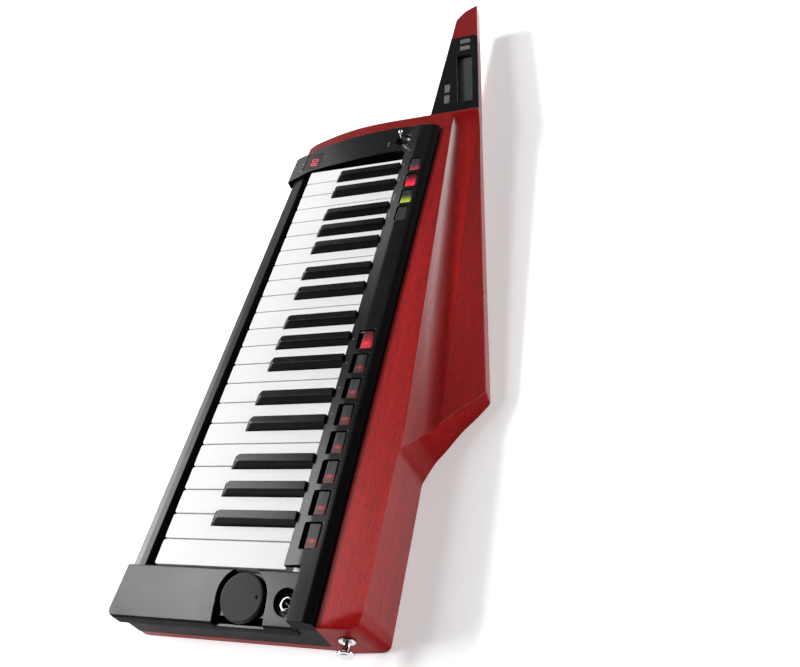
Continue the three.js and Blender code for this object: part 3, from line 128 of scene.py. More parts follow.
def soften(obj, width, segments, angle, clamp=False):
    modifier = obj.modifiers.new("soft", "BEVEL")
    modifier.width = width
    modifier.segments = segments
    modifier.limit_method = "ANGLE"
    modifier.angle_limit = math.radians(angle)
    modifier.use_clamp_overlap = clamp
    modifier.miter_outer = "MITER_ARC"
    bake(obj)


def join(name, pieces):
    """Puts the meshes of all pieces into the first one."""
    first = pieces[0]
    bm = bmesh.new()
    bm.from_mesh(first.data)
    for other in pieces[1:]:
        bm.from_mesh(other.data)
        bpy.data.objects.remove(other, do_unlink=True)
    bm.to_mesh(first.data)
    bm.free()
    first.name = name
    return first


def settle(obj, material, smooth, replaced=None, body="body"):
    """Puts a piece drawn in millimetres into the row frame, and onto its body."""
    obj.data.transform(TO_ROW)
    obj.data.materials.clear()
    obj.data.materials.append(material)
    obj.data.shade_smooth()
    obj.data.set_sharp_from_angle(angle=math.radians(smooth))
    modifier = obj.modifiers.new("flat", "WEIGHTED_NORMAL")
    modifier.mode = "FACE_AREA"
    modifier.weight = 50
    modifier.keep_sharp = True
    bake(obj)
    if replaced:
        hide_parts(replaced)
    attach(obj, body)


def second_look(piece, material, chosen):
    """Gives the chosen faces a second material."""
    piece.data.materials.append(material)
    for face in piece.data.polygons:
        face.material_index = 1 if chosen(face) else 0


def faces_tail(face):
    return face.normal.y < -0.6


def skin(name, rings, matrix=None):
    """Rings with equally many points, joined one to the next, with flat caps at both ends."""
    count = len(rings[0])
    verts = [p for ring in rings for p in ring]
    faces = []
    for s in range(len(rings) - 1):
        for i in range(count):
            here = s * count + i
            beside = s * count + (i + 1) % count
            faces.append((here, beside, beside + count, here + count))
    faces.append(tuple(range(count))[::-1])
    last = (len(rings) - 1) * count
    faces.append(tuple(range(last, last + count)))
    return make_object(name, verts, faces, matrix)


def prism(name, outline, low, high, matrix=None):
    return skin(name, [[(x, y, z) for x, y in outline] for z in (low, high)], matrix)


def bar_y(name, profile, low, high):
    return skin(name, [[(x, y, z) for x, z in profile] for y in (low, high)])


def bar_x(name, profile, low, high):
    return skin(name, [[(x, y, z) for y, z in profile] for x in (low, high)])


def block(name, x0, x1, y0, y1, z0, z1):
    return prism(name, [(x0, y0), (x1, y0), (x1, y1), (x0, y1)], z0, z1)


def lathe(name, profile, sides, matrix):
    """A turned solid about Z. The profile runs from the axis to the axis as (radius, height)."""
    inner = profile[1:-1]
    verts = []
    for k in range(sides):
        a = 2 * math.pi * k / sides
        verts += [(r * math.cos(a), r * math.sin(a), z) for r, z in inner]
    count = len(inner)
    low = len(verts)
    verts.append((0.0, 0.0, profile[0][1]))
    verts.append((0.0, 0.0, profile[-1][1]))
    faces = []
    for k in range(sides):
        here = k * count
        beside = (k + 1) % sides * count
        faces += [(here + i, beside + i, beside + i + 1, here + i + 1) for i in range(count - 1)]
    for k in range(sides):
        here = k * count
        beside = (k + 1) % sides * count
        faces.append((low, beside, here))
        faces.append((low + 1, here + count - 1, beside + count - 1))
    return make_object(name, verts, faces, matrix)


def disc(name, radius, low, high, sides, matrix):
    return lathe(name, [(0, low), (radius, low), (radius, high), (0, high)], sides, matrix)


def moved(x, y, z):
    return Matrix.Translation((x, y, z))


def turned(angle, axis):
    return Matrix.Rotation(angle, 4, axis)


# Outline helpers

def mix(a, b, share):
    return a + (b - a) * share


def quarter(steps):
    """Angles from 0 to a right angle."""
    return [math.pi / 2 * k / steps for k in range(steps + 1)]


def table(points, at):
    """Straight-line reading of sorted (place, value) pairs."""
    if at <= points[0][0]:
        return points[0][1]
    for (a, va), (b, vb) in zip(points, points[1:]):
        if at <= b:
            return mix(va, vb, (at - a) / (b - a))
    return points[-1][1]


def curve(points, steps=6):
    """A smooth curve through points, ends included."""
    out = []
    last = len(points) - 1
    for i in range(last):
        p0 = Vector(points[max(i - 1, 0)])
        p1 = Vector(points[i])
        p2 = Vector(points[i + 1])
        p3 = Vector(points[min(i + 2, last)])
        for k in range(steps):
            t = k / steps
            p = 0.5 * (2 * p1 + (p2 - p0) * t + (2 * p0 - 5 * p1 + 4 * p2 - p3) * t * t
                       + (3 * p1 - p0 - 3 * p2 + p3) * t ** 3)
            out.append(tuple(p))
    out.append(tuple(points[-1]))
    return out


def fillet(points, radii, steps):
    """Rounds each corner of a closed outline. A radius of 0 keeps the one point."""
    out = []
    count = len(points)
    for i, radius in enumerate(radii):
        p = Vector(points[i])
        if radius <= 0:
            out.append(tuple(p))
            continue
        a = Vector(points[i - 1]) - p
        b = Vector(points[(i + 1) % count]) - p
        if min(a.length, b.length) < 1e-6 or a.angle(b) > math.pi - 0.01:
            out.extend([tuple(p)] * (steps + 1))
            continue
        reach = min(radius / math.tan(a.angle(b) / 2), a.length * 0.48, b.length * 0.48)
        start = p + a.normalized() * reach
        end = p + b.normalized() * reach
        for k in range(steps + 1):
            t = k / steps
            q = (1 - t) ** 2 * start + 2 * t * (1 - t) * p + t * t * end
            out.append(tuple(q))
    return out


def rounded(outline, radius, steps):
    return fillet(outline, [radius] * len(outline), steps)


def corner_arc(x, y, radius):
    """Rounds an outline's corner at its least x and y."""
    return [(x + radius * (1 - math.sin(a)), y + radius * (1 - math.cos(a))) for a in quarter(5)]


def rectangle(x, y, width, length):
    return [(x - width / 2, y - length / 2), (x + width / 2, y - length / 2),
            (x + width / 2, y + length / 2), (x - width / 2, y + length / 2)]


def pad(name, x, y, size, radius, low, high, steps=4):
    """A block with rounded corners, seen from above."""
    return prism(name, rounded(rectangle(x, y, *size), radius, steps), low, high)


# Materials

def new_material(name):
    material = bpy.data.materials.new(name)
    material.use_nodes = True
    tree = material.node_tree
    return material, tree, tree.nodes["Principled BSDF"].inputs


def feed(value, socket):
    """Sets a socket's value, or links another node's output to it."""
    if isinstance(value, bpy.types.NodeSocket):
        socket.id_data.links.new(value, socket)
    else:
        socket.default_value = value


def add_node(tree, kind, inputs=None, **values):
    node = tree.nodes.new("ShaderNode" + kind)
    for key, value in values.items():
        setattr(node, key, value)
    for key, value in (inputs or {}).items():
        feed(value, node.inputs[key])
    return node


def object_coords(tree, along=1.0):
    """Object coordinates, with the pattern drawn out along Y where along is under 1."""
    coords = add_node(tree, "TexCoord").outputs["Object"]
    return add_node(tree, "Mapping", {"Scale": (1.0, along, 1.0), "Vector": coords}).outputs["Vector"]


def axis_y(vector):
    return add_node(vector.id_data, "SeparateXYZ", {"Vector": vector}).outputs["Y"]


def noise(vector, scale, detail, roughness, distortion=0.0):
    return add_node(vector.id_data, "TexNoise", {
        "Scale": scale, "Detail": detail, "Roughness": roughness, "Distortion": distortion,
        "Vector": vector}).outputs["Fac"]


def ramp(value, stops):
    node = add_node(value.id_data, "ValToRGB", {"Fac": value})
    elements = node.color_ramp.elements
    while len(elements) < len(stops):
        elements.new(0.5)
    for element, (place, colour) in zip(elements, stops):
        element.position = place
        element.color = (*colour, 1.0)
    return node.outputs["Color"]


def spread(value, low, high, out_low, out_high, kind="LINEAR"):
    return add_node(value.id_data, "MapRange", {
        "From Min": low, "From Max": high, "To Min": out_low, "To Max": out_high, "Value": value},
        interpolation_type=kind).outputs["Result"]


def multiply(a, b, share=1.0):
    return add_node(a.id_data, "Mix", {"Factor": share, "A": a, "B": b},
                    data_type="RGBA", blend_type="MULTIPLY").outputs["Result"]


def calculate(kind, operation, *operands):
    """A maths node, whose first operand is another node's output."""
    return add_node(operands[0].id_data, kind, dict(enumerate(operands)), operation=operation)


def add_bump(shader, height, strength, distance):
    bump = add_node(height.id_data, "Bump", {"Strength": strength, "Distance": distance, "Height": height})
    feed(bump.outputs["Normal"], shader["Normal"])


def tinted(colour, factor):
    return tuple(c * factor for c in colour)


def wood_material():
    """Lacquered wood dyed red, with painted shade darkening it towards the neck, and less glossy on the walls
    that face the tail.
    """
    material, tree, shader = new_material("red_lacquered_wood")
    broad = noise(object_coords(tree, 0.06), 95.0, 4.0, 0.55, 0.35)
    base = ramp(broad, [(0.28, (0.29, 0.006, 0.006)), (0.46, (0.33, 0.007, 0.007)),
                        (0.60, (0.36, 0.009, 0.009)), (0.78, (0.40, 0.012, 0.012))])
    fine = noise(object_coords(tree, 0.05), 800.0, 2.0, 0.6)
    dark = ramp(fine, [(0.34, (0.34, 0.25, 0.28)), (0.47, (0.88, 0.85, 0.86)), (0.6, (1.0, 1.0, 1.0))])
    pores = noise(object_coords(tree, 0.11), 1750.0, 1.0, 0.5)
    pore_tint = ramp(pores, [(0.34, (0.14, 0.1, 0.12)), (0.47, (1.0, 1.0, 1.0))])
    colour = multiply(multiply(base, dark, 0.4), pore_tint, 0.55)
    coords = add_node(tree, "TexCoord").outputs
    # Painted shade: the colour darkens towards the neck, where the lacquer looks darker under the light.
    towards_neck = spread(axis_y(coords["Object"]), -0.06, 0.17, 0.0, 1.0)
    neck_painted_shade = ramp(towards_neck, [(0.0, (1.0, 1.0, 1.0)), (1.0, (0.66, 0.62, 0.6))])
    feed(multiply(colour, neck_painted_shade), shader["Base Color"])
    feed(spread(fine, 0.2, 0.8, 0.37, 0.29), shader["Roughness"])
    facing = axis_y(coords["Normal"])
    feed(spread(facing, -0.5, -0.08, 0.05, 0.4), shader["Specular IOR Level"])
    feed(spread(facing, -0.5, -0.08, 0.0, 0.25), shader["Coat Weight"])
    feed(0.3, shader["Coat Roughness"])
    add_bump(shader, pores, 0.12, 0.0002)
    return material


def plastic(name, colour, rough, grain, bump, depth, vary=0.12, specular=0.5):
    """Moulded plastic with a cloudy colour and gloss, and a fine grain."""
    material, tree, shader = new_material(name)
    vector = object_coords(tree)
    cloud = noise(vector, 28.0, 3.0, 0.6)
    tint = ramp(cloud, [(0.3, tinted(colour, 1 - vary)), (0.7, tinted(colour, 1 + vary))])
    feed(tint, shader["Base Color"])
    feed(spread(cloud, 0.3, 0.7, rough * 0.9, rough * 1.1), shader["Roughness"])
    feed(specular, shader["Specular IOR Level"])
    add_bump(shader, noise(vector, grain, 2.0, 0.6), bump, depth)
    return material


def metal(name, colour, rough, along=1.0):
    material, tree, shader = new_material(name)
    fine = noise(object_coords(tree, along), 700.0, 2.0, 0.6)
    feed(ramp(fine, [(0.3, tinted(colour, 0.92)), (0.7, colour)]), shader["Base Color"])
    feed(spread(fine, 0.3, 0.7, rough * 0.8, rough * 1.3), shader["Roughness"])
    feed(1.0, shader["Metallic"])
    add_bump(shader, fine, 0.05, 0.00005)
    return material


def lamp_cap(name, glow, strength, reach, body=(0.035, 0.035, 0.037), spot=0.0):
    """Smoked plastic, lit from inside along its tail edge. A spot adds a brighter middle."""
    material, tree, shader = new_material(name)
    across = add_node(tree, "TexCoord").outputs["Generated"]
    fade = spread(axis_y(across), 0.08, reach, 1.0, 0.0, "SMOOTHSTEP")
    centre = calculate("VectorMath", "SUBTRACT", across, (0.5, 0.3, 0.5)).outputs["Vector"]
    squeezed = calculate("VectorMath", "MULTIPLY", centre, (0.62, 2.3, 0.0)).outputs["Vector"]
    length = calculate("VectorMath", "LENGTH", squeezed).outputs["Value"]
    middle = spread(length, 0.02, 0.3, spot, 0.0, "SMOOTHSTEP")
    total = calculate("Math", "MULTIPLY_ADD", fade, 1.0 - spot, middle).outputs[0]
    light = ramp(total, [(0.0, (0.0, 0.0, 0.0)), (0.5, tinted(glow, 0.4)), (1.0, glow)])
    feed(light, shader["Emission Color"])
    feed(strength, shader["Emission Strength"])
    streak = noise(object_coords(tree, 0.03), 1500.0, 1.0, 0.5)
    feed(ramp(streak, [(0.35, tinted(body, 0.5)), (0.65, tinted(body, 1.5))]), shader["Base Color"])
    feed(spread(streak, 0.3, 0.7, 0.27, 0.33), shader["Roughness"])
    return material


def glow_material(name, colour, strength):
    material, tree, shader = new_material(name)
    cloud = noise(object_coords(tree), 400.0, 2.0, 0.5)
    feed(ramp(cloud, [(0.2, tinted(colour, 0.8)), (0.8, colour)]), shader["Emission Color"])
    feed(strength, shader["Emission Strength"])
    feed((0.02, 0.01, 0.01, 1.0), shader["Base Color"])
    return material


def floor_material(name, colour, rough, glow):
    """Pale floor that adds a glow for the camera, in metal and through glass."""
    material, tree, shader = new_material(name)
    cloud = noise(object_coords(tree), 3.0, 2.0, 0.5)
    feed(ramp(cloud, [(0.3, tinted(colour, 0.995)), (0.7, colour)]), shader["Base Color"])
    feed(rough, shader["Roughness"])
    feed(0.1, shader["Specular IOR Level"])
    path = add_node(tree, "LightPath").outputs
    seen = path["Is Camera Ray"]
    for kind in ("Is Glossy Ray", "Is Transmission Ray"):
        seen = calculate("Math", "MAXIMUM", seen, path[kind]).outputs[0]
    feed(spread(seen, 0.0, 1.0, 0.0, glow), shader["Emission Strength"])
    feed((1.0, 1.0, 1.0, 1.0), shader["Emission Color"])
    return material


wood = wood_material()

# Plastics: colour, roughness, then the grain's scale, strength and depth in metres
panel_black = plastic("panel_black", (0.004, 0.0041, 0.0045), 0.25, 1600.0, 0.25, 0.0001)
shell_black = plastic("shell_black", (0.004, 0.004, 0.0044), 0.5, 700.0, 0.06, 0.0001, specular=0.05)
recess_black = plastic("recess_black", (0.004, 0.004, 0.0045), 0.5, 900.0, 0.1, 0.0001)
key_white = plastic("key_white", (0.765, 0.77, 0.76), 0.3, 500.0, 0.02, 0.00005, 0.012, 0.2)
key_black = plastic("key_black", (0.004, 0.0042, 0.0048), 0.22, 1500.0, 0.1, 0.00006)
# A darker, duller copy of the black keys' plastic: painted shade for their steep sides.
key_side = plastic("key_side", (0.003, 0.003, 0.0032), 0.4, 1500.0, 0.1, 0.00006, specular=0.12)
rail_grey = plastic("rail_grey", (0.012, 0.0122, 0.013), 0.34, 1800.0, 0.2, 0.00008, specular=0.62)
# A darker, duller copy of the black plastic: painted shade, given to faces of black pieces that turn to the
# tail or to the side.
painted_shade_black = plastic("painted_shade_black", (0.003, 0.003, 0.0032), 0.6, 1800.0, 0.2, 0.00008, specular=0.04)
ribbon_grey = plastic("ribbon_grey", (0.045, 0.046, 0.048), 0.45, 2600.0, 0.45, 0.0001)
dial_grey = plastic("dial_grey", (0.014, 0.0143, 0.0165), 0.6, 1400.0, 0.25, 0.0001, specular=0.25)
button_grey = plastic("button_grey", (0.12, 0.122, 0.125), 0.35, 900.0, 0.08, 0.00006)
felt = plastic("felt", (0.03, 0.03, 0.032), 0.95, 2200.0, 0.8, 0.0004)
board_green = plastic("board_green", (0.01, 0.09, 0.035), 0.4, 600.0, 0.1, 0.0001)
mark_grey = plastic("mark_grey", (0.22, 0.225, 0.23), 0.5, 700.0, 0.05, 0.00004)
window_red = plastic("window_red", (0.016, 0.006, 0.007), 0.25, 300.0, 0.02, 0.00004, specular=0.25)
chrome = metal("chrome", (0.6, 0.61, 0.63), 0.09)
satin = metal("satin", (0.9, 0.9, 0.9), 0.2)
steel = metal("steel", (0.55, 0.56, 0.57), 0.3, along=0.05)
dark_screw = metal("dark_screw", (0.12, 0.12, 0.125), 0.35)
digit_red = glow_material("digit_red", (1.0, 0.10, 0.12), 1.6)
lamp_white = glow_material("lamp_white", (0.85, 0.95, 1.0), 0.7)
lamp_green = glow_material("lamp_green", (0.45, 0.9, 0.1), 0.8)


# Wooden body

WOOD_TAIL = 38.2
TURN_Y = -20.0
SKEW = 3.4
DECK_INNER = 143.2
DECK_END = 498.0
SIDE_TOP = 175.0
SIDE_FOOT = 180.0
SIDE_LEAN = 5.0
WALL_FOOT_Y = 94.0
TIP = (226.0, 171.0)
SHOULDER_Y = 538.5
NECK_LEFT = 125.4
NECK_RIGHT = 181.5
EDGE_THICK = 16.3
COVE_HEAD_Y = 531.5
COVE_HEAD_LENGTH = 26.5
SIDE_POINTS = curve([
    (78.0, 180.0), (94.0, 180.0), (100.6, 182.1), (114.4, 187.8), (124.4, 194.3),
    (143.7, 206.1), (157.5, 216.8), (171.0, 226.0)], 6)
CREASE_POINTS = [(60.0, SIDE_TOP), (100.0, 176.6), (SHOULDER_Y, 153.5)]

# Sizes of the cove, at the wing's tip and at its head near the neck
SCOOP_WIDTH = (22.0, 27.0)
COVE_DEPTH = (16.5, 6.5)
WING_DROP = (-BACK - EDGE_THICK, 6.0)
COVE_POWER = (1.4, 1.1)

FACET_START = (143.4, -WOOD_TAIL)
FACET_END = (175.6, -25.0)
FACET_FALL = 0.42
SOFT_BEND = 2.0
TUCK_START = -25.2
TUCK_SHARE = 0.36
CORNER_ROUND = 6.0

CREASE_ROUND = 1.8
SCOOP_ROUND = 3.5
WING_ROUND = 1.6
FOOT_ROUND = 1.2
FOOT_RISE = 0.4
UNDERCUT = 28.0
UNDERCUT_RUN = 8.0
WOOD_EDGE = 1.2


def wing_edge(y):
    return mix(TIP[0], NECK_RIGHT, (y - TIP[1]) / (SHOULDER_Y - TIP[1]))


def foot_x(y):
    return wing_edge(y) if y >= TIP[1] else table(SIDE_POINTS, y)


def crease_x(y):
    return table(CREASE_POINTS, y)


def along_cove(y):
    return min((y - TIP[1]) / (COVE_HEAD_Y - TIP[1]), 1.0)


def scoop_width(y):
    return min(mix(*SCOOP_WIDTH, along_cove(y)), 0.92 * (wing_edge(y) - crease_x(y)))


def soft_start(away, bend):
    """Grows from 0 at -bend, and as away itself from bend on."""
    return (away + bend) ** 2 / (4 * bend) if away < bend else away


def cove_z(y, away):
    """Height of the cove at a distance from the crease."""
    along = along_cove(y)
    wide = scoop_width(y)
    deep = mix(*COVE_DEPTH, along)
    power = mix(*COVE_POWER, along) * wide / deep
    fall = deep * (1 - (1 - min(away / wide, 1.0)) ** power)
    if away > wide:
        fall += (mix(*WING_DROP, along) - deep) * (away - wide) / (wing_edge(y) - crease_x(y) - wide)
    head = max(0.0, y - (COVE_HEAD_Y - COVE_HEAD_LENGTH)) / COVE_HEAD_LENGTH
    return -fall * math.sqrt(max(0.0, 1 - min(head, 1.0) ** 2))


def lean_at(y):
    share = max(0.0, min(1.0, (y - WALL_FOOT_Y) / (TIP[1] - WALL_FOOT_Y)))
    return SIDE_LEAN * (1 - share) ** 0.5


def tail_facet(x, y):
    """The shallow facet that falls to the tail's outer corner."""
    (ax, ay), (bx, by) = FACET_START, FACET_END
    away = ((bx - ax) * (ay - y) + (by - ay) * (x - ax)) / math.hypot(bx - ax, by - ay)
    return -FACET_FALL * soft_start(away, SOFT_BEND) if away > -SOFT_BEND else 0.0


def deck_z(x, y):
    """Height of the deck and the cove."""
    start = crease_x(y)
    z = cove_z(y, x - start) if x > start else 0.0
    return min(z, tail_facet(x, y)) if y < 0 else z


def corner_tuck(y, z):
    """How far the side draws in near the tail's outer corner."""
    away = TUCK_START - y
    soft = soft_start(away, SOFT_BEND) if away > -SOFT_BEND else 0.0
    near = max(0.0, CORNER_ROUND - (y + WOOD_TAIL))
    turn = CORNER_ROUND - math.sqrt(max(0.0, CORNER_ROUND ** 2 - near ** 2))
    height = (z - BACK) / -BACK
    return TUCK_SHARE * soft * height + turn * mix(1.15, 0.75, height)


def wood_section(y, inset):
    """The body's outline across X and Z, right of the keyboard bay."""
    lean = lean_at(y) if y < TIP[1] else 0.0

    def side(z):
        x = foot_x(y) - lean * (z - BACK) / -BACK
        if y < TURN_Y:
            x -= corner_tuck(y, z)
        return x - inset

    top = side(0.0)
    for _ in range(12):
        top = side(deck_z(top, y))
    start = min(crease_x(y), top - 0.02)
    bound = start + min(scoop_width(y), 0.8 * (top - start))
    across = [(DECK_INNER, 0.8 if y < DECK_END else 0.02)]
    across += [(mix(DECK_INNER, start, k / 8), 0.0) for k in range(1, 8)]
    across.append((start, CREASE_ROUND))
    across += [(mix(start, bound, 0.08 + 0.92 * (k / 19) ** 1.2), 0.0) for k in range(19)]
    across.append((bound, SCOOP_ROUND))
    across += [(mix(bound, top, k / 5), 0.0) for k in range(1, 5)]
    across.append((top, WING_ROUND))
    points = [(x, deck_z(x, y) - inset) for x, _ in across]
    radii = [radius for _, radius in across]
    low = BACK + FOOT_RISE + inset
    if y > TIP[1]:
        low = max(mix(BACK, -EDGE_THICK, along_cove(y)), BACK + FOOT_RISE)
    share = max(0.0, min(1.0, (y - TIP[1]) / UNDERCUT_RUN))
    foot = side(BACK) - max(0.5, UNDERCUT * share)
    points += [(side(low), low), (foot, BACK + inset)]
    radii += [FOOT_ROUND, FOOT_ROUND]
    points += [(mix(foot, DECK_INNER, k / 4), BACK + inset) for k in range(1, 5)]
    radii += [0.0] * 4
    return fillet(points, radii, 5)


def skewed(x, y):
    """The tail's end face runs slightly askew."""
    if y > TURN_Y:
        return y
    share = (TURN_Y - y) / (WOOD_TAIL + TURN_Y)
    return y + share * SKEW * (x - DECK_INNER) / (SIDE_FOOT - DECK_INNER)


# How far apart the sections lie, each up to its place along the body
SECTION_STEPS = [(TURN_Y, 1.2), (85.0, 4.0), (178.0, 1.8), (505.0, 9.0), (SHOULDER_Y, 3.0)]
SHOULDER_EDGE = 1.5
TAIL_EDGE = 1.8


def wood_right():
    stations = [
        (-WOOD_TAIL + TAIL_EDGE * (1 - math.cos(a)), TAIL_EDGE * (1 - math.sin(a))) for a in quarter(6)]
    y = -WOOD_TAIL + TAIL_EDGE + 0.8
    while y < SHOULDER_Y - SHOULDER_EDGE - 0.5:
        stations.append((y, 0.0))
        y += next(step for end, step in SECTION_STEPS if y < end)
    stations += [
        (SHOULDER_Y - SHOULDER_EDGE * (1 - math.sin(a)), SHOULDER_EDGE * (1 - math.cos(a)))
        for a in quarter(6)]
    return skin("wood_right", [
        [(x, skewed(x, y), z) for x, z in wood_section(y, inset)] for y, inset in stations])


ARM_OUTER = [(143.2, 508.0), (120.4, 513.1), (96.0, 516.8), (71.5, 516.9), (47.1, 515.3),
             (23.0, 511.2), (0.0, 504.1), (-12.9, 497.0), (-22.6, 493.0), (-26.2, 489.6)]
SHOULDER_OUT = [(-15.5, 509.0), (-12.0, 513.6), (-5.0, 518.7), (6.4, 524.2), (17.8, 529.0),
                (41.2, 535.5), (65.8, 538.1), (90.2, 538.5), (124.0, 538.5)]


def slab(name, outline, low, high, edge, steps=4):
    """A flat slab with its top edge rounded over."""
    count = len(outline)
    area = sum(a[0] * b[1] - b[0] * a[1] for a, b in zip(outline, outline[1:] + outline[:1]))
    sign = 1 if area > 0 else -1
    normals = []
    for i in range(count):
        p = Vector(outline[i])
        a = (p - Vector(outline[i - 1])).normalized()
        b = (Vector(outline[(i + 1) % count]) - p).normalized()
        turn = (a + b).normalized()
        half = max(0.35, turn.dot(a))
        normals.append(Vector((-turn.y, turn.x)) * sign / half)
    rings = [[(x, y, low) for x, y in outline]]
    for a in quarter(steps):
        drop = edge * (1 - math.sin(a))
        inset = edge * (1 - math.cos(a))
        rings.append([
            (x + n.x * inset, y + n.y * inset, high - drop) for (x, y), n in zip(outline, normals)])
    return skin(name, rings)


NECK_TOP = -2.0
NECK_BELLY = -19.0
NECK_BACK = -30.0
NECK_FLANK = 9.0
NECK_END = (150.3, 769.2)
NECK_STEP = 6.0
NECK_EDGE = 1.1
NECK_CREST = curve([
    (124.5, 746.0), (126.4, 752.9), (133.0, 766.6), (141.0, 774.6), (148.6, 778.8), (151.4, 776.0)], 6)
CREST_Y = 778.7
PANEL_END = 703.4
PANEL_CORNER = 8.0
SEAT_DEPTH = 2.5
SEAT_GAP = 0.3
WELL_FLOOR = -11.0
WELL_WALL = 4.0


def neck_right(y):
    return mix(NECK_RIGHT, NECK_END[0], (y - SHOULDER_Y) / (NECK_END[1] - SHOULDER_Y))


def neck_section(y):
    right = neck_right(y)
    points = [(NECK_LEFT, NECK_TOP), (right, NECK_TOP), (right, NECK_BELLY), (right - NECK_FLANK, NECK_BACK),
              (NECK_LEFT + NECK_FLANK, NECK_BACK), (NECK_LEFT, NECK_BELLY)]
    return fillet(points, [1.0, 1.0, 6.0, 4.0, 4.0, 6.0], 5)


def neck_corner(grow):
    """The rounded outer corner at the far end of the neck panel."""
    y = PANEL_END - PANEL_CORNER
    x = neck_right(y) - PANEL_CORNER
    radius = PANEL_CORNER + grow
    return [(x + radius * math.cos(a), y + radius * math.sin(a)) for a in quarter(10)]


def neck_outline(low, high, inset):
    return [(NECK_LEFT + inset, low + inset), (neck_right(low + inset) - inset, low + inset),
            (neck_right(high - inset) - inset, high - inset), (NECK_LEFT + inset, high - inset)]


def wood_neck():
    rings = []
    for k in range(-1, 42):
        y = SHOULDER_Y + NECK_STEP * k
        rings.append([(x, y, z) for x, z in neck_section(y)])
    neck = skin("wood_neck", rings)
    left, right = 100.0, 200.0
    plan = [(left, 500.0), (right, 500.0), (right, 765.0), (150.9, 770.5)]
    plan += [(x, min(y, CREST_Y)) for x, y in NECK_CREST[::-1]] + [(left, 700.0)]
    combine(neck, [prism("plan", plan, -80.0, 40.0)], "INTERSECT")
    soften(neck, NECK_EDGE, 3, 40)
    seat = [(left, SHOULDER_Y), (right, SHOULDER_Y), (right, PANEL_END - PANEL_CORNER)]
    seat += neck_corner(SEAT_GAP) + [(left, PANEL_END + SEAT_GAP)]
    well = prism("well", neck_outline(SHOULDER_Y + SEAT_GAP, PANEL_END, WELL_WALL), WELL_FLOOR, 20.0)
    return combine(neck, [prism("seat", seat, NECK_TOP - SEAT_DEPTH, 20.0), well])


SCREWS = [(-8.0, 30.0), (-8.0, 240.0), (-8.0, 440.0), (60.0, -26.0), (128.0, -26.0), (128.0, 140.0),
          (128.0, 320.0), (60.0, 505.0), (128.0, 505.0)]
SCREW_SEAT_RADIUS = 3.2
SCREW_SEAT_DEPTH = 1.3
BODY_LEFT = -20.0
FLOOR_TAIL = -36.2
BATTERY = (66.0, 297.0)
BATTERY_COVER_SIZE = (56.0, 116.0)
BATTERY_HOLE_SIZE = (48.0, 108.0)


def build_wood():
    body = wood_right()
    shoulder = curve(SHOULDER_OUT, 5)
    bay = curve([p for p in ARM_OUTER if p[0] > BODY_LEFT], 5)
    outline = [(BODY_LEFT, 480.0), (BODY_LEFT, 491.0), (-15.5, 500.0)] + shoulder
    outline += [(146.0, SHOULDER_Y), (146.0, 503.6)] + bay + [(-19.0, 480.0)]
    arm = slab("wood_shoulder", outline[::-1], BACK, 0.0, WOOD_EDGE)
    plan = [(BODY_LEFT, FLOOR_TAIL), (144.0, FLOOR_TAIL), (144.0, 530.0), (40.0, 530.0), (BODY_LEFT, 491.0)]
    floor = slab("wood_floor", plan, -FLOOR_TOP, -BACK, WOOD_EDGE)
    floor.data.transform(Matrix.Scale(-1.0, 4, (0, 0, 1)))
    floor.data.flip_normals()
    trim = [(-30.0, -50.0), (160.0, -50.0), (160.0, SHOULDER_Y)] + shoulder[::-1]
    trim += [(-15.5, 500.0), (BODY_LEFT, 491.0), (-30.0, 491.0)]
    combine(floor, [prism("trim", trim, -60.0, 0.0)], "INTERSECT")
    combine(body, [arm, floor, wood_neck()], "UNION")
    combine(body, [pad("battery_seat", *BATTERY, BATTERY_COVER_SIZE, 2.0, -50.0, -44.0, 5),
                   prism("battery_hole", rectangle(*BATTERY, *BATTERY_HOLE_SIZE), -50.0, DEEP)])
    for x, y in SCREWS:
        combine(body, [
            disc("screw_seat", SCREW_SEAT_RADIUS, BACK - 1.0, BACK + SCREW_SEAT_DEPTH, 32, moved(x, y, 0.0))])
    body.name = "carved_wood"
    settle(body, wood, 28.0, "wood_body")


build_wood()

# Control panel

FAVOURITE_X = 126.0
FUNCTION_X = 127.1
FAVOURITES = [23.5 + 25.8 * k for k in range(8)]
FUNCTIONS = [365.1 + 25.55 * k for k in range(4)]
FAVOURITE_SLOT = (14.4, 20.4)
FAVOURITE_CORNER = 1.6
FUNCTION_SLOT = (12.2, 20.4)
FUNCTION_CORNER = 1.4
SLOT_SPAN = (-4.0, 9.0)
KEYROOM = (100.0, 133.4, -1.0, KEYS_LENGTH + 0.5, -12.0, 1.3)
PANEL_RIGHT = 142.6
PANEL_TAIL = -37.5
STRIP_INNER = 110.5
STRIP_FOOT = 124.6
STRIP_FOOT_Y = 1.2
PANEL_WALL = 2.6
PANEL_EDGE = 0.45
PANEL_OUT = [(142.6, 503.9), (120.1, 513.0), (95.8, 516.0), (70.9, 516.2), (47.1, 514.8),
             (23.0, 510.7), (0.0, 503.5), (-13.0, 496.5), (-22.6, 492.5), (-25.6, 489.0)]
PANEL_IN = [(-25.6, 448.5), (-12.0, 456.6), (-0.4, 463.0), (33.9, 468.0), (57.7, 470.5), (81.0, 472.4),
            (103.9, 471.5)]
PANEL_LEFT_X = -32.0
PANEL_RIGHT_X = 150.0
PANEL_CROWN = [
    (PANEL_LEFT_X, 0.84), (105.0, 4.65), (111.5, 4.93), (118.0, 5.83), (120.5, 6.17), (122.2, 6.38),
    (124.0, 6.45), (136.2, 6.45), (137.6, 6.3), (139.4, 5.2), (142.6, 3.2), (PANEL_RIGHT_X, -1.4)]
DISH = (105.0, 490.3, 4.8)
DISH_PROFILE = [(0, -5.0), (5.0, -5.0), (7.4, -3.6), (8.7, -1.6), (9.3, 0.2), (9.3, 4.0), (0, 4.0)]
WINDOW = (-2.3, 480.6)
WINDOW_SEAT = (19.0, 26.0)
WINDOW_SIZE = (18.4, 25.4)


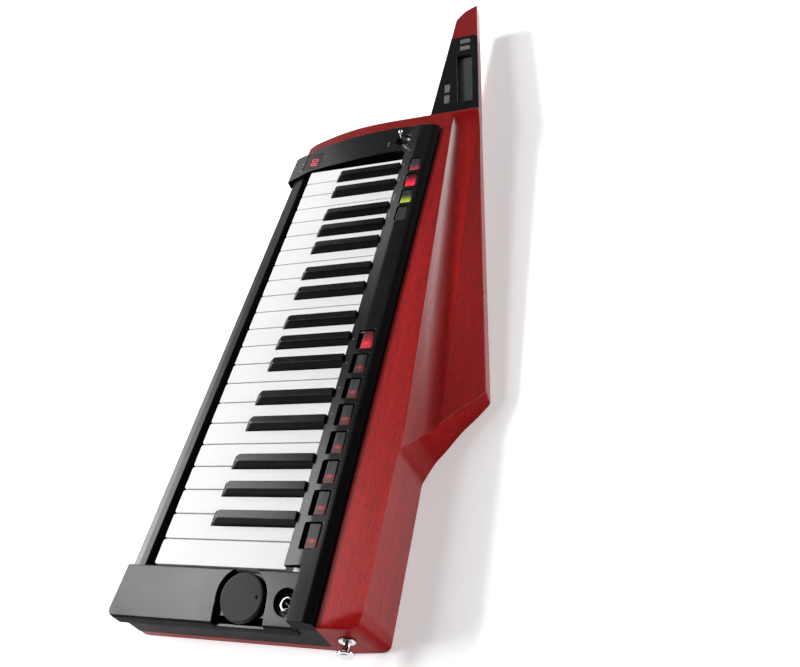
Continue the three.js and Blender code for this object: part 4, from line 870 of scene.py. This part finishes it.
def panel_profile(sink=0.0, floor=-8.0):
    """The panel's cross-section, with its crown sunk a little for pieces that lie in it."""
    return [(x, z - sink) for x, z in PANEL_CROWN] + [(PANEL_RIGHT_X, floor), (PANEL_LEFT_X, floor)]


def arm_outline():
    outer = [(PANEL_RIGHT, 507.7), (142.4, 508.1), (141.9, 508.4)] + curve(PANEL_OUT[1:], 5)
    inner = curve(PANEL_IN, 5) + [(108.4, 470.2), (STRIP_INNER, 467.4)]
    return outer + inner + [
        (STRIP_INNER, STRIP_FOOT_Y), (STRIP_FOOT, STRIP_FOOT_Y), (STRIP_FOOT, PANEL_TAIL),
        (PANEL_RIGHT, PANEL_TAIL)]


def build_panel():
    panel = bar_y("control_panel_shell", panel_profile(), -60.0, 540.0)
    combine(panel, [prism("plan", arm_outline(), -9.0, HIGH)], "INTERSECT")
    left, foot, right = STRIP_INNER + PANEL_WALL, STRIP_FOOT + PANEL_WALL, PANEL_RIGHT - PANEL_WALL
    tail, turn, neck = PANEL_TAIL + PANEL_WALL, STRIP_FOOT_Y + PANEL_WALL, 460.0
    under = bar_y("under", panel_profile(PANEL_WALL, -20.0), tail, neck)
    room = [(left, turn), (foot, turn), (foot, tail), (right, tail), (right, neck), (left, neck)]
    combine(under, [prism("room", room, DEEP, 8.0)], "INTERSECT")
    combine(panel, [under, block("keyroom", *KEYROOM)])
    tools = [pad("slot", FAVOURITE_X, y, FAVOURITE_SLOT, FAVOURITE_CORNER, *SLOT_SPAN) for y in FAVOURITES]
    tools += [pad("slot", FUNCTION_X, y, FUNCTION_SLOT, FUNCTION_CORNER, *SLOT_SPAN) for y in FUNCTIONS]
    tools.append(lathe("dish", DISH_PROFILE, 48, moved(*DISH)))
    tools.append(disc("throat", 3.3, -14.0, 1.0, 32, moved(*DISH)))
    combine(panel, tools)
    window = pad("window_seat", *WINDOW, WINDOW_SEAT, 1.0, -10.0, HIGH)
    combine(window, [bar_y("below", panel_profile(1.4, -20.0), 440.0, 520.0)])
    combine(panel, [window])
    soften(panel, PANEL_EDGE, 3, 35)
    settle(panel, panel_black, 35.0, "control_panel")
    # Painted shade: faces that turn to the tail or towards the wing take the darker, duller black.
    second_look(panel, painted_shade_black, lambda face: faces_tail(face) or face.normal.x > 0.45)


build_panel()

# Keys

NOTES = "cbagfed"
BLACK_SHARE = {"c": 0.115, "d": -0.128, "f": 0.161, "g": 0.001, "a": -0.176}
SHOW = 110.0
KEY_GAP = 1.0
KEY_CORNER = 1.9
KEY_TAIL = 140.0
KEY_EDGE = 0.45
LIP_DEPTH = 15.0
KEY_UNDER = -8.0
NOTCH_FRONT = 36.75
NOTCH_HALF = 6.2
HOOK_START = 114.0
HOOK_TOP = -3.2
HOOK = [(HOOK_START, HOOK_TOP), (130.3, HOOK_TOP), (132.9, -5.8), (132.9, -12.3), (130.3, -12.3),
        (130.0, -9.0), (128.0, -7.7), (126.0, -9.0), (125.7, -12.3), (123.1, -12.3), (120.5, KEY_UNDER)]
BLACK_HALF = 5.45

# A black key at its foot, at the white keys' height and at its crest: front, half width, corner, height
BLACK_RINGS = [(37.8, BLACK_HALF, 0.8, KEY_UNDER), (37.5, BLACK_HALF, 0.8, 0.0), (43.2, 3.4, 2.7, 7.5)]


def octave(i):
    return 6 - (i + 6) // 7


def black_centre(i):
    """Middle of the black key between white keys i - 1 and i, or None."""
    note = NOTES[i % 7]
    if i <= 0 or i >= WHITE_COUNT or note not in BLACK_SHARE:
        return None
    return PITCH * (i + BLACK_SHARE[note])


def white_key(i):
    low = i * PITCH + KEY_GAP / 2
    high = low + PITCH - KEY_GAP
    round_low = corner_arc(0.0, low, KEY_CORNER)
    round_high = [(x, low + high - y) for x, y in round_low][::-1]
    after = black_centre(i + 1)
    before = black_centre(i)
    upper = [(KEY_TAIL, high)]
    if after is not None:
        edge = after - NOTCH_HALF
        upper = [(NOTCH_FRONT, high), (NOTCH_FRONT, edge), (KEY_TAIL, edge)]
    lower = [(KEY_TAIL, low)]
    if before is not None:
        edge = before + NOTCH_HALF
        lower = [(KEY_TAIL, edge), (NOTCH_FRONT, edge), (NOTCH_FRONT, low)]
    profile = [(0.0, -LIP_DEPTH), (0.0, 0.0), (SHOW, 0.0)] + HOOK + [(12.0, KEY_UNDER), (8.8, -LIP_DEPTH)]
    name = f"key_{NOTES[i % 7]}_{octave(i)}"
    key = bar_y(name + "_cap", profile, low - 2.0, high + 2.0)
    combine(key, [prism("plan", round_high + upper + lower + round_low, -20.0, 5.0)], "INTERSECT")
    soften(key, KEY_EDGE, 2, 38)
    settle(key, key_white, 30.0, name, name.replace("key_", "note_"))


def key_ring(centre, front, half, radius, z):
    """Plan outline of a black key at one height, with rounded front corners."""
    near = corner_arc(front, centre - half, radius)
    far = [(x, 2 * centre - y) for x, y in near[::-1]]
    outline = [(HOOK_START, centre - half)] + near + far + [(HOOK_START, centre + half)]
    return [(x, y, z) for x, y in outline]


def black_key(i):
    centre = black_centre(i)
    low, high = centre - BLACK_HALF, centre + BLACK_HALF
    name = f"key_{NOTES[i % 7]}_sharp_{octave(i)}"
    key = skin(name + "_cap", [key_ring(centre, *ring) for ring in BLACK_RINGS])
    soften(key, KEY_EDGE, 3, 38)
    hook = bar_y("hook", [(100.0, KEY_UNDER), (100.0, HOOK_TOP)] + HOOK, low, high)
    combine(key, [block("past_end", SHOW, KEY_TAIL, low - 2.55, high + 2.55, -20.0, HIGH)])
    combine(key, [hook], "UNION")
    settle(key, key_black, 30.0, name, name.replace("key_", "note_"))
    # Painted shade: the steep sides of the key take the darker, duller black.
    second_look(key, key_side, lambda face: abs(face.normal.z) < 0.5)


for number in range(WHITE_COUNT):
    white_key(number)
    if black_centre(number) is not None:
        black_key(number)

# Buttons

CAP_TOP = 5.5
CAP_LOW = 1.5
CAP_CHAMFER = 0.7
CAP_STEP = 1.0
CAP_CORNER = 0.9
CAP_EDGE = 0.3
CAP_CUT = (-5.0, HIGH)
WEB_LOW = 0.9
WEB_TOP = 1.9
FAVOURITE_CAP = (9.8, 18.8)
FUNCTION_CAP = (11.3, 19.4)
FAVOURITE_SHIFT = 1.1
WEB_REACH = 11.4
FAVOURITE_WEB = 16.8
FUNCTION_WEB = 14.6


def cap(name, x, y, size, material, body):
    """A button's cap, with a deeper step along its keyboard side."""
    width, length = size
    left, right = x - width / 2, x + width / 2
    profile = [(left, CAP_LOW), (right, CAP_LOW), (right, CAP_TOP - CAP_CHAMFER),
               (right - CAP_CHAMFER, CAP_TOP), (left + CAP_STEP, CAP_TOP), (left, CAP_TOP - CAP_STEP)]
    piece = bar_y(name, profile, y - length, y + length)
    combine(piece, [pad("plan", x, y, size, CAP_CORNER, *CAP_CUT)], "INTERSECT")
    soften(piece, CAP_EDGE, 2, 25)
    settle(piece, material, 25.0, body=body)


def web(name, x, rows, width, body, replaced):
    """The web under the caps of one row or more, given by their places along Y."""
    low, high = rows[0] - WEB_REACH, rows[-1] + WEB_REACH
    piece = pad(name, x, (low + high) / 2, (width, high - low), 1.0, WEB_LOW, WEB_TOP, 3)
    soften(piece, 0.15, 1, 40, clamp=True)
    settle(piece, recess_black, 40.0, replaced, body)


dim_red = lamp_cap("lamp_dim_red", (1.0, 0.02, 0.035), 0.5, 0.5, spot=0.85)
low_red = lamp_cap("lamp_low_red", (1.0, 0.03, 0.06), 0.34, 0.6)
bright_red = lamp_cap("lamp_bright_red", (1.0, 0.02, 0.06), 1.05, 0.9, (0.04, 0.01, 0.012))
bright_red_one = lamp_cap("lamp_bright_red_one", (1.0, 0.05, 0.08), 1.0, 1.0, (0.05, 0.01, 0.012), 0.35)
green = lamp_cap("lamp_green_cap", (0.50, 0.72, 0.01), 0.8, 0.62)
unlit = lamp_cap("lamp_unlit", (0.3, 0.32, 0.33), 0.01, 0.5, (0.03, 0.031, 0.033))

web("favourite_web", FAVOURITE_X, FAVOURITES, FAVOURITE_WEB, "favourites", "favourite_buttons")
for number, y in enumerate(FAVOURITES):
    glow = bright_red_one if number == 7 else dim_red
    cap(f"favourite_cap_{8 - number}", FAVOURITE_X + FAVOURITE_SHIFT, y, FAVOURITE_CAP, glow, "favourites")
for number, (y, glow) in enumerate(zip(FUNCTIONS, (unlit, green, bright_red, low_red))):
    index = 4 - number
    body_name = f"function_{index}"
    web(f"function_web_{index}", FUNCTION_X, [y], FUNCTION_WEB, body_name, f"function_button_{index}")
    cap(f"function_cap_{index}", FUNCTION_X, y, FUNCTION_CAP, glow, body_name)

# Lever and display

LEVER = [(0, -3.0), (1.5, -2.6), (2.6, -1.5), (3.0, 0.0), (2.6, 1.5), (2.2, 2.2), (2.2, 15.6), (2.1, 16.2),
         (1.75, 16.8), (1.0, 17.25), (0, 17.35)]
LEVER_SINK = 5.0
lever_at = moved(DISH[0], DISH[1], DISH[2] - LEVER_SINK)
settle(lathe("lever_bat", LEVER, 32, lever_at), satin, 50.0, "toggle_lever", "lever")


def panel_height(x):
    return table([(PANEL_LEFT_X, 0.84), (110.5, 4.8), (122.2, 6.4), (137.2, 6.4)], x)


def build_display():
    glass = bar_y("display_glass", panel_profile(0.1, -12.0), 460.0, 500.0)
    combine(glass, [bar_y("glass_under", panel_profile(1.1, -14.0), 455.0, 505.0)])
    combine(glass, [pad("glass_plan", *WINDOW, WINDOW_SIZE, 0.8, -8.0, 8.0)], "INTERSECT")
    soften(glass, 0.12, 1, 40, clamp=True)
    settle(glass, window_red, 35.0, "display_window")


build_display()

# Where each stroke of a figure lies, in half widths and half heights, and which ones lie flat
STROKES = {"a": (0, 1, True), "b": (1, 0.5, False), "c": (1, -0.5, False), "d": (0, -1, True),
           "e": (-1, -0.5, False), "f": (-1, 0.5, False), "g": (0, 0, True)}
DIGIT_HALF_WIDTH = 1.9
DIGIT_HALF_HEIGHT = 3.5
STROKE_WIDE = 0.95
STROKE_GAP = 0.2
DIGIT_SLANT = 0.14
DIGIT_X = -0.2


def digit(name, x, y, lit):
    """A seven-segment figure lying flat, upright towards +X and read from the neck to the tail."""
    strokes = []
    for across, up, flat in [STROKES[letter] for letter in lit]:
        cx, cy = across * DIGIT_HALF_WIDTH, up * DIGIT_HALF_HEIGHT
        long = (DIGIT_HALF_WIDTH if flat else DIGIT_HALF_HEIGHT / 2) - STROKE_GAP
        tip = STROKE_WIDE / 2
        near, far = tip - long, long - tip
        outline = [(-long, 0), (near, -tip), (far, -tip), (long, 0), (far, tip), (near, tip)]
        if not flat:
            outline = [(-v, u) for u, v in outline]
        laid = [(x + cy + v, y - cx - u - DIGIT_SLANT * (cy + v)) for u, v in outline]
        z = panel_height(x + cy)
        strokes.append(prism(name, laid, z - 0.1, z + 0.03))
    settle(join(name, strokes), digit_red, 40.0)


digit("digit_left", DIGIT_X, 481.6, "abcdef")
digit("digit_right", DIGIT_X, 474.4, "abcdefg")


def small_dot(name, x, y, radius, material):
    top = panel_height(x) + 0.12
    profile = [(0, top - 0.6), (radius, top - 0.6), (radius, top - 0.1), (radius * 0.7, top), (0, top)]
    settle(lathe(name, profile, 20, moved(x, y, 0)), material, 50.0)


small_dot("lamp_white_dot", -14.6, 478.0, 0.6, lamp_white)
small_dot("lamp_green_dot", -15.2, 466.6, 0.8, lamp_green)


def mark(name, x, y, across, along, pieces=1):
    """A short row of plain printed bars."""
    step = along / pieces
    length = step * (0.62 if pieces > 1 else 1.0)
    bars = []
    for k in range(pieces):
        plan = rectangle(x, y - along / 2 + k * step + length / 2, across, length)
        rings = [[(px, py, panel_height(px) + lift) for px, py in plan] for lift in (-0.2, 0.03)]
        bars.append(skin(name, rings))
    settle(join(name, bars), mark_grey, 40.0)


for number, y in enumerate(FAVOURITES):
    mark(f"mark_favourite_{8 - number}", 114.3, y + 1.4, 0.9, 0.9)
FUNCTION_MARKS = [(366.5, 7.5, 5), (392.0, 9.5, 6), (419.4, 3.0, 2), (444.5, 3.0, 2)]
for number, (y, along, pieces) in enumerate(FUNCTION_MARKS):
    mark(f"mark_function_{4 - number}", 114.0, y, 1.1, along, pieces)
mark("mark_lever", 88.0, 487.0, 1.2, 8.0, 5)

# End panel, dial and jack

END_TOP = 0.9
END_FALL = 9.1
END_RUN = 36.5
END_INNER = -1.0
END_TAIL = PANEL_TAIL
END_RIGHT = 124.3
END_WALL = 2.6
END_EDGE = 0.6
DIAL = (79.5, -19.4)
DIAL_RECESS = 20.3
JACK = moved(115.0, -21.0, 0.0)
JACK_WELL = [(0, -9.6), (8.3, -9.6), (9.0, -8.6), (9.0, 9.0), (0, 9.0)]


def end_z(y):
    return END_TOP + END_FALL * (y - END_INNER) / END_RUN


dial_seat = moved(*DIAL, end_z(DIAL[1])) @ turned(math.atan(END_FALL / END_RUN), "X")


def dial_recess(radius):
    """A round recess that runs out of the tail side."""
    points = [(radius * math.cos(math.pi * k / 32), radius * math.sin(math.pi * k / 32)) for k in range(33)]
    return points + [(-radius, -40.0), (radius, -40.0)]


def build_end():
    lip = [(END_INNER, 0.4), (-1.6, 0.75), (-36.0, end_z(-36.0)), (-37.0, end_z(-36.9) - 0.5),
           (END_TAIL, -9.6), (END_TAIL, -20.0), (END_INNER, -20.0)]
    panel = bar_x("end_panel_shell", lip, -31.0, END_RIGHT)
    plan = [(-22.0, END_INNER), (-29.6, -32.0), (-29.4, -34.6), (-27.6, -36.9), (-25.0, END_TAIL),
            (END_RIGHT, END_TAIL), (END_RIGHT, END_INNER)]
    combine(panel, [prism("plan", plan, DEEP, 10.0)], "INTERSECT")
    hollow = block(
        "hollow", -18.0, END_RIGHT - END_WALL, END_TAIL + END_WALL, END_INNER - END_WALL, DEEP, -12.0)
    combine(panel, [hollow, prism("recess", dial_recess(DIAL_RECESS), -5.4, HIGH, dial_seat)])
    combine(panel, [lathe("jack_well", JACK_WELL, 48, JACK), disc("jack_hole", 5.1, DEEP, 0.0, 32, JACK),
                    disc("dial_hole", 3.3, DEEP, 0.0, 32, dial_seat)])
    soften(panel, END_EDGE, 3, 35)
    settle(panel, panel_black, 35.0, "end_panel")
    # Painted shade: the faces that turn to the tail take the darker, duller black.
    second_look(panel, painted_shade_black, faces_tail)


build_end()

KNOB = [(0, -16.9), (3.0, -16.9), (3.0, -4.9), (17.0, -4.9), (17.2, -4.6), (17.2, -1.6), (16.9, -0.95),
        (16.2, -0.55), (15.6, -0.5), (0, -0.5)]
DIMPLE = [(0, -1.6), (0.7, -1.45), (1.1, -1.0), (1.3, -0.4), (1.3, 2.0), (0, 2.0)]
knob = lathe("dial_knob", KNOB, 96, dial_seat)
combine(knob, [lathe("dimple", DIMPLE, 28, dial_seat @ moved(12.2, 0.6, 0.0))])
settle(knob, dial_grey, 35.0, "value_dial", "dial")

NUT = [(0, -9.2), (6.2, -9.2), (6.2, -7.6), (5.7, -7.1), (0, -7.1)]
nut = lathe("jack_ring", NUT, 6, JACK)
combine(nut, [disc("collar", 4.8, -28.0, -5.9, 40, JACK)], "UNION")
combine(nut, [disc("bore", 3.3, -26.0, 0.0, 40, JACK)])
soften(nut, 0.3, 2, 40)
settle(nut, chrome, 35.0, "mic_jack")

# Ribbon rail, chassis and the felt under the key fronts

RAIL_OUTER = -21.5
RAIL_INNER = -9.0
RAIL_FOOT = -14.0


def build_rail():
    corners = [(RAIL_OUTER, RAIL_FOOT), (RAIL_INNER, RAIL_FOOT), (RAIL_INNER, -1.7), (-14.5, -1.6),
               (-19.6, -2.5), (RAIL_OUTER, -5.2)]
    profile = fillet(corners, [0.0, 0.0, 0.4, 7.0, 2.2, 1.2], 6)
    rail = bar_y("ribbon_rail", profile, -0.5, KEYS_LENGTH)
    arm = curve(PANEL_OUT, 4) + curve(PANEL_IN, 4)
    grown = [(x - 0.5 if x < 0 else x, y - 0.6 if y < 480 else y) for x, y in arm]
    combine(rail, [prism("arm", grown, -20.0, 10.0)])
    soften(rail, 0.5, 2, 50)
    settle(rail, rail_grey, 25.0, "long_ribbon")
    # Painted shade: the faces that turn to the keys or to the tail take the darker, duller black.
    second_look(rail, painted_shade_black, lambda face: face.normal.x > 0.6 or faces_tail(face))


build_rail()

FELT = (3.5, 11.5, 4.0, KEYS_LENGTH - 4.0, -25.25, -23.4)
strip = block("felt_strip", *FELT)
soften(strip, 0.5, 2, 40, clamp=True)
settle(strip, felt, 40.0)

CAD_LOOKS = {
    "lower_chassis": shell_black, "key_axle": steel, "battery_cover": shell_black, "main_board": board_green,
}
for node_name, look in CAD_LOOKS.items():
    node = frame["nodes"][node_name]
    node.data.materials.clear()
    node.data.materials.append(look)

# Neck panel

START = SHOULDER_Y + SEAT_GAP
RIBBON = [(139.0, 659.8), (154.4, 557.8), (171.4, 557.8), (157.4, 659.8)]
RIBBON_INSET = 1.0
PAIR_MARGIN = 1.4
PAIR_GAP = 0.5
PAIR_EDGE = 0.6
PAIR_WEB = (-5.5, -4.5)
PAIR_CAP = (-5.0, -1.15)
NECK_SLOT = (-12.0, 3.0)
OCTAVE = {"x": 146.2, "y": 683.0, "step_x": -2.0, "step_y": 16.2, "width": 12.0, "length": 8.4}
MODE = {"x": 139.1, "y": 577.8, "step_x": -2.9, "step_y": 22.6, "width": 6.0, "length": 15.8}


def pair_outlines(pair, grow):
    """Two buttons, whose sides lean along the line from one to the other."""
    outlines = []
    for side in (-0.5, 0.5):
        y = pair["y"] + side * pair["step_y"]
        x = pair["x"] + side * pair["step_x"]
        upright = rectangle(x, y, pair["width"] + 2 * grow, pair["length"] + 2 * grow)
        lean = pair["step_x"] / pair["step_y"]
        outlines.append(rounded([(px + (py - y) * lean, py) for px, py in upright], 1.0, 4))
    return outlines


def build_neck_panel():
    outline = [(NECK_LEFT, START), (neck_right(START), START)] + neck_corner(0.0) + [(NECK_LEFT, PANEL_END)]
    panel = prism("neck_panel_shell", outline, -4.2, NECK_TOP)
    inner = prism("inner", neck_outline(START, PANEL_END, WELL_WALL + SEAT_GAP), -6.6, -3.1)
    combine(panel, [inner], "UNION")
    tools = [prism("ribbon_slot", rounded(RIBBON, 1.6, 5), *NECK_SLOT)]
    for pair in (OCTAVE, MODE):
        tools += [prism("slot", slot, *NECK_SLOT) for slot in pair_outlines(pair, PAIR_GAP)]
    combine(panel, tools)
    soften(panel, 0.5, 3, 35)
    settle(panel, panel_black, 35.0, "neck_panel")


build_neck_panel()

ribbon_plan = [(x + (-RIBBON_INSET if k < 2 else RIBBON_INSET), y) for k, (x, y) in enumerate(RIBBON)]
ribbon = slab("short_ribbon", rounded(ribbon_plan, 1.5, 4), -8.4, -6.95, 0.3, 2)
settle(ribbon, ribbon_grey, 35.0, "neck_ribbon")


def neck_pair(name, pair, body, node_name):
    width = pair["width"] + abs(pair["step_x"]) + PAIR_MARGIN
    length = pair["length"] + abs(pair["step_y"]) + PAIR_MARGIN
    base = prism(name + "_web", rectangle(pair["x"], pair["y"], width, length), *PAIR_WEB)
    settle(base, recess_black, 40.0, node_name, body)
    for number, outline in enumerate(pair_outlines(pair, 0.0)):
        piece = slab(f"{name}_{number + 1}", outline, *PAIR_CAP, PAIR_EDGE, 3)
        settle(piece, button_grey, 40.0, body=body)


neck_pair("octave_cap", OCTAVE, "octave_pair", "octave_buttons")
neck_pair("mode_cap", MODE, "mode_pair", "mode_buttons")

# Strap pins

PIN = [(0, 0.3), (5.7, 0.3), (6.0, 0.6), (5.8, 1.2), (4.6, 1.8), (3.4, 2.3), (3.0, 3.2), (3.0, 6.6),
       (3.5, 7.6), (5.2, 8.3), (6.5, 8.7), (6.8, 9.1), (6.6, 9.7), (5.3, 10.0), (4.9, 10.6),
       (4.2, 11.2), (2.0, 11.3), (0, 11.3)]
TAIL_PIN_X = 157.5
TAIL_PIN_Z = -23.0
HEEL_PIN = (147.4, 562.5)
SKEW_SLOPE = SKEW / (SIDE_FOOT - DECK_INNER)
tail_pin = (moved(TAIL_PIN_X, -WOOD_TAIL + SKEW_SLOPE * (TAIL_PIN_X - DECK_INNER), TAIL_PIN_Z)
            @ turned(math.atan(SKEW_SLOPE), "Z") @ turned(math.pi / 2, "X"))
heel_pin = moved(*HEEL_PIN, NECK_BACK) @ turned(math.pi, "X")
settle(lathe("tail_pin", PIN, 40, tail_pin), chrome, 50.0, "strap_pin_tail")
settle(lathe("neck_pin", PIN, 40, heel_pin), chrome, 50.0, "strap_pin_neck")

# Screws in the back

SCREW_HEAD = [(0, -1.0), (2.6, -1.0), (2.9, -0.45), (2.3, -0.06), (0, -0.02)]
CROSS_SIZE = (2.8, 0.6)
for x, y in SCREWS:
    seat = moved(x, y, BACK) @ turned(math.pi, "X")
    head = lathe("back_screw", SCREW_HEAD, 24, seat)
    for angle in (0.0, math.pi / 2):
        combine(head, [prism("cross", rectangle(0, 0, *CROSS_SIZE), -0.7, 1.0, seat @ turned(angle, "Z"))])
    settle(head, dark_screw, 40.0)

# Floor, camera and lights

FLOOR_SIZE = 7.0
FLOOR_DROP = 0.0005
bpy.ops.mesh.primitive_plane_add(size=FLOOR_SIZE, location=(0, 0, -FLOOR_DROP))
floor_plane = bpy.context.object
floor_plane.name = "floor"
floor_plane.data.materials.append(floor_material("floor_white", (0.97, 0.97, 0.97), 0.9, 0.38))

# The photograph is 800 pixels wide and was taken from this place, turned by these angles in degrees
CAMERA_AT = (384.8, -204.7, 462.4)
CAMERA_TURN = (43.12886, 17.63468, 11.05173)
FOCAL_PIXELS = 787.88
IMAGE_WIDTH = 800
SENSOR_WIDTH = 36.0
camera_data = bpy.data.cameras.new("camera")
camera = bpy.data.objects.new("camera", camera_data)
bpy.context.scene.collection.objects.link(camera)
camera.location = TO_ROW @ Vector(CAMERA_AT)
camera.rotation_euler = Euler([math.radians(angle) for angle in CAMERA_TURN])
camera_data.sensor_width = SENSOR_WIDTH
camera_data.lens = FOCAL_PIXELS * SENSOR_WIDTH / IMAGE_WIDTH
camera_data.clip_start = 0.01
camera_data.clip_end = 50.0
bpy.context.scene.camera = camera

# Each lamp's place, width and height in metres, and its power in watts
LAMPS = {
    "key_light": ((-4.1, -0.3, 2.8), 2.9, 0.7, 325.0),
    "top": ((-1.46, -0.63, 2.2), 0.65, 0.5, 11.5),
    "left": ((-1.56, 0.57, 1.6), 0.72, 0.96, 11.7),
    "rail_light": ((-1.87, 0.7, 1.09), 0.7, 0.35, 4.6),
    "arm_light": ((-1.18, 1.67, 1.1), 0.36, 0.36, 1.15),
    "neck_light": ((1.2, 1.73, 0.55), 1.2, 0.4, 12.0),
    "right": ((2.62, -0.1, 0.4), 1.6, 0.5, 26.0),
}
LAMP_TARGET = Vector((0.03, 0.0, 0.03))
for name, (place, width, height, power) in LAMPS.items():
    data = bpy.data.lights.new(name, "AREA")
    data.shape = "RECTANGLE"
    data.size = width
    data.size_y = height
    data.energy = power
    lamp = bpy.data.objects.new(name, data)
    bpy.context.scene.collection.objects.link(lamp)
    lamp.location = place
    lamp.rotation_euler = (Vector(place) - LAMP_TARGET).to_track_quat("Z", "Y").to_euler()

# The studio is white near the horizon and dark above
world = bpy.data.worlds.new("studio")
bpy.context.scene.world = world
world.use_nodes = True
background = world.node_tree.nodes["Background"].inputs
sky = add_node(world.node_tree, "TexCoord").outputs["Generated"]
height = add_node(world.node_tree, "SeparateXYZ", {"Vector": sky}).outputs["Z"]
shade = ramp(height, [(0.0, (0.95, 0.95, 0.95)), (0.06, (0.9, 0.9, 0.9)),
                      (0.24, (0.06, 0.06, 0.061)), (1.0, (0.04, 0.04, 0.041))])
feed(shade, background["Color"])
feed(1.0, background["Strength"])

bpy.context.scene.view_settings.view_transform = "Standard"
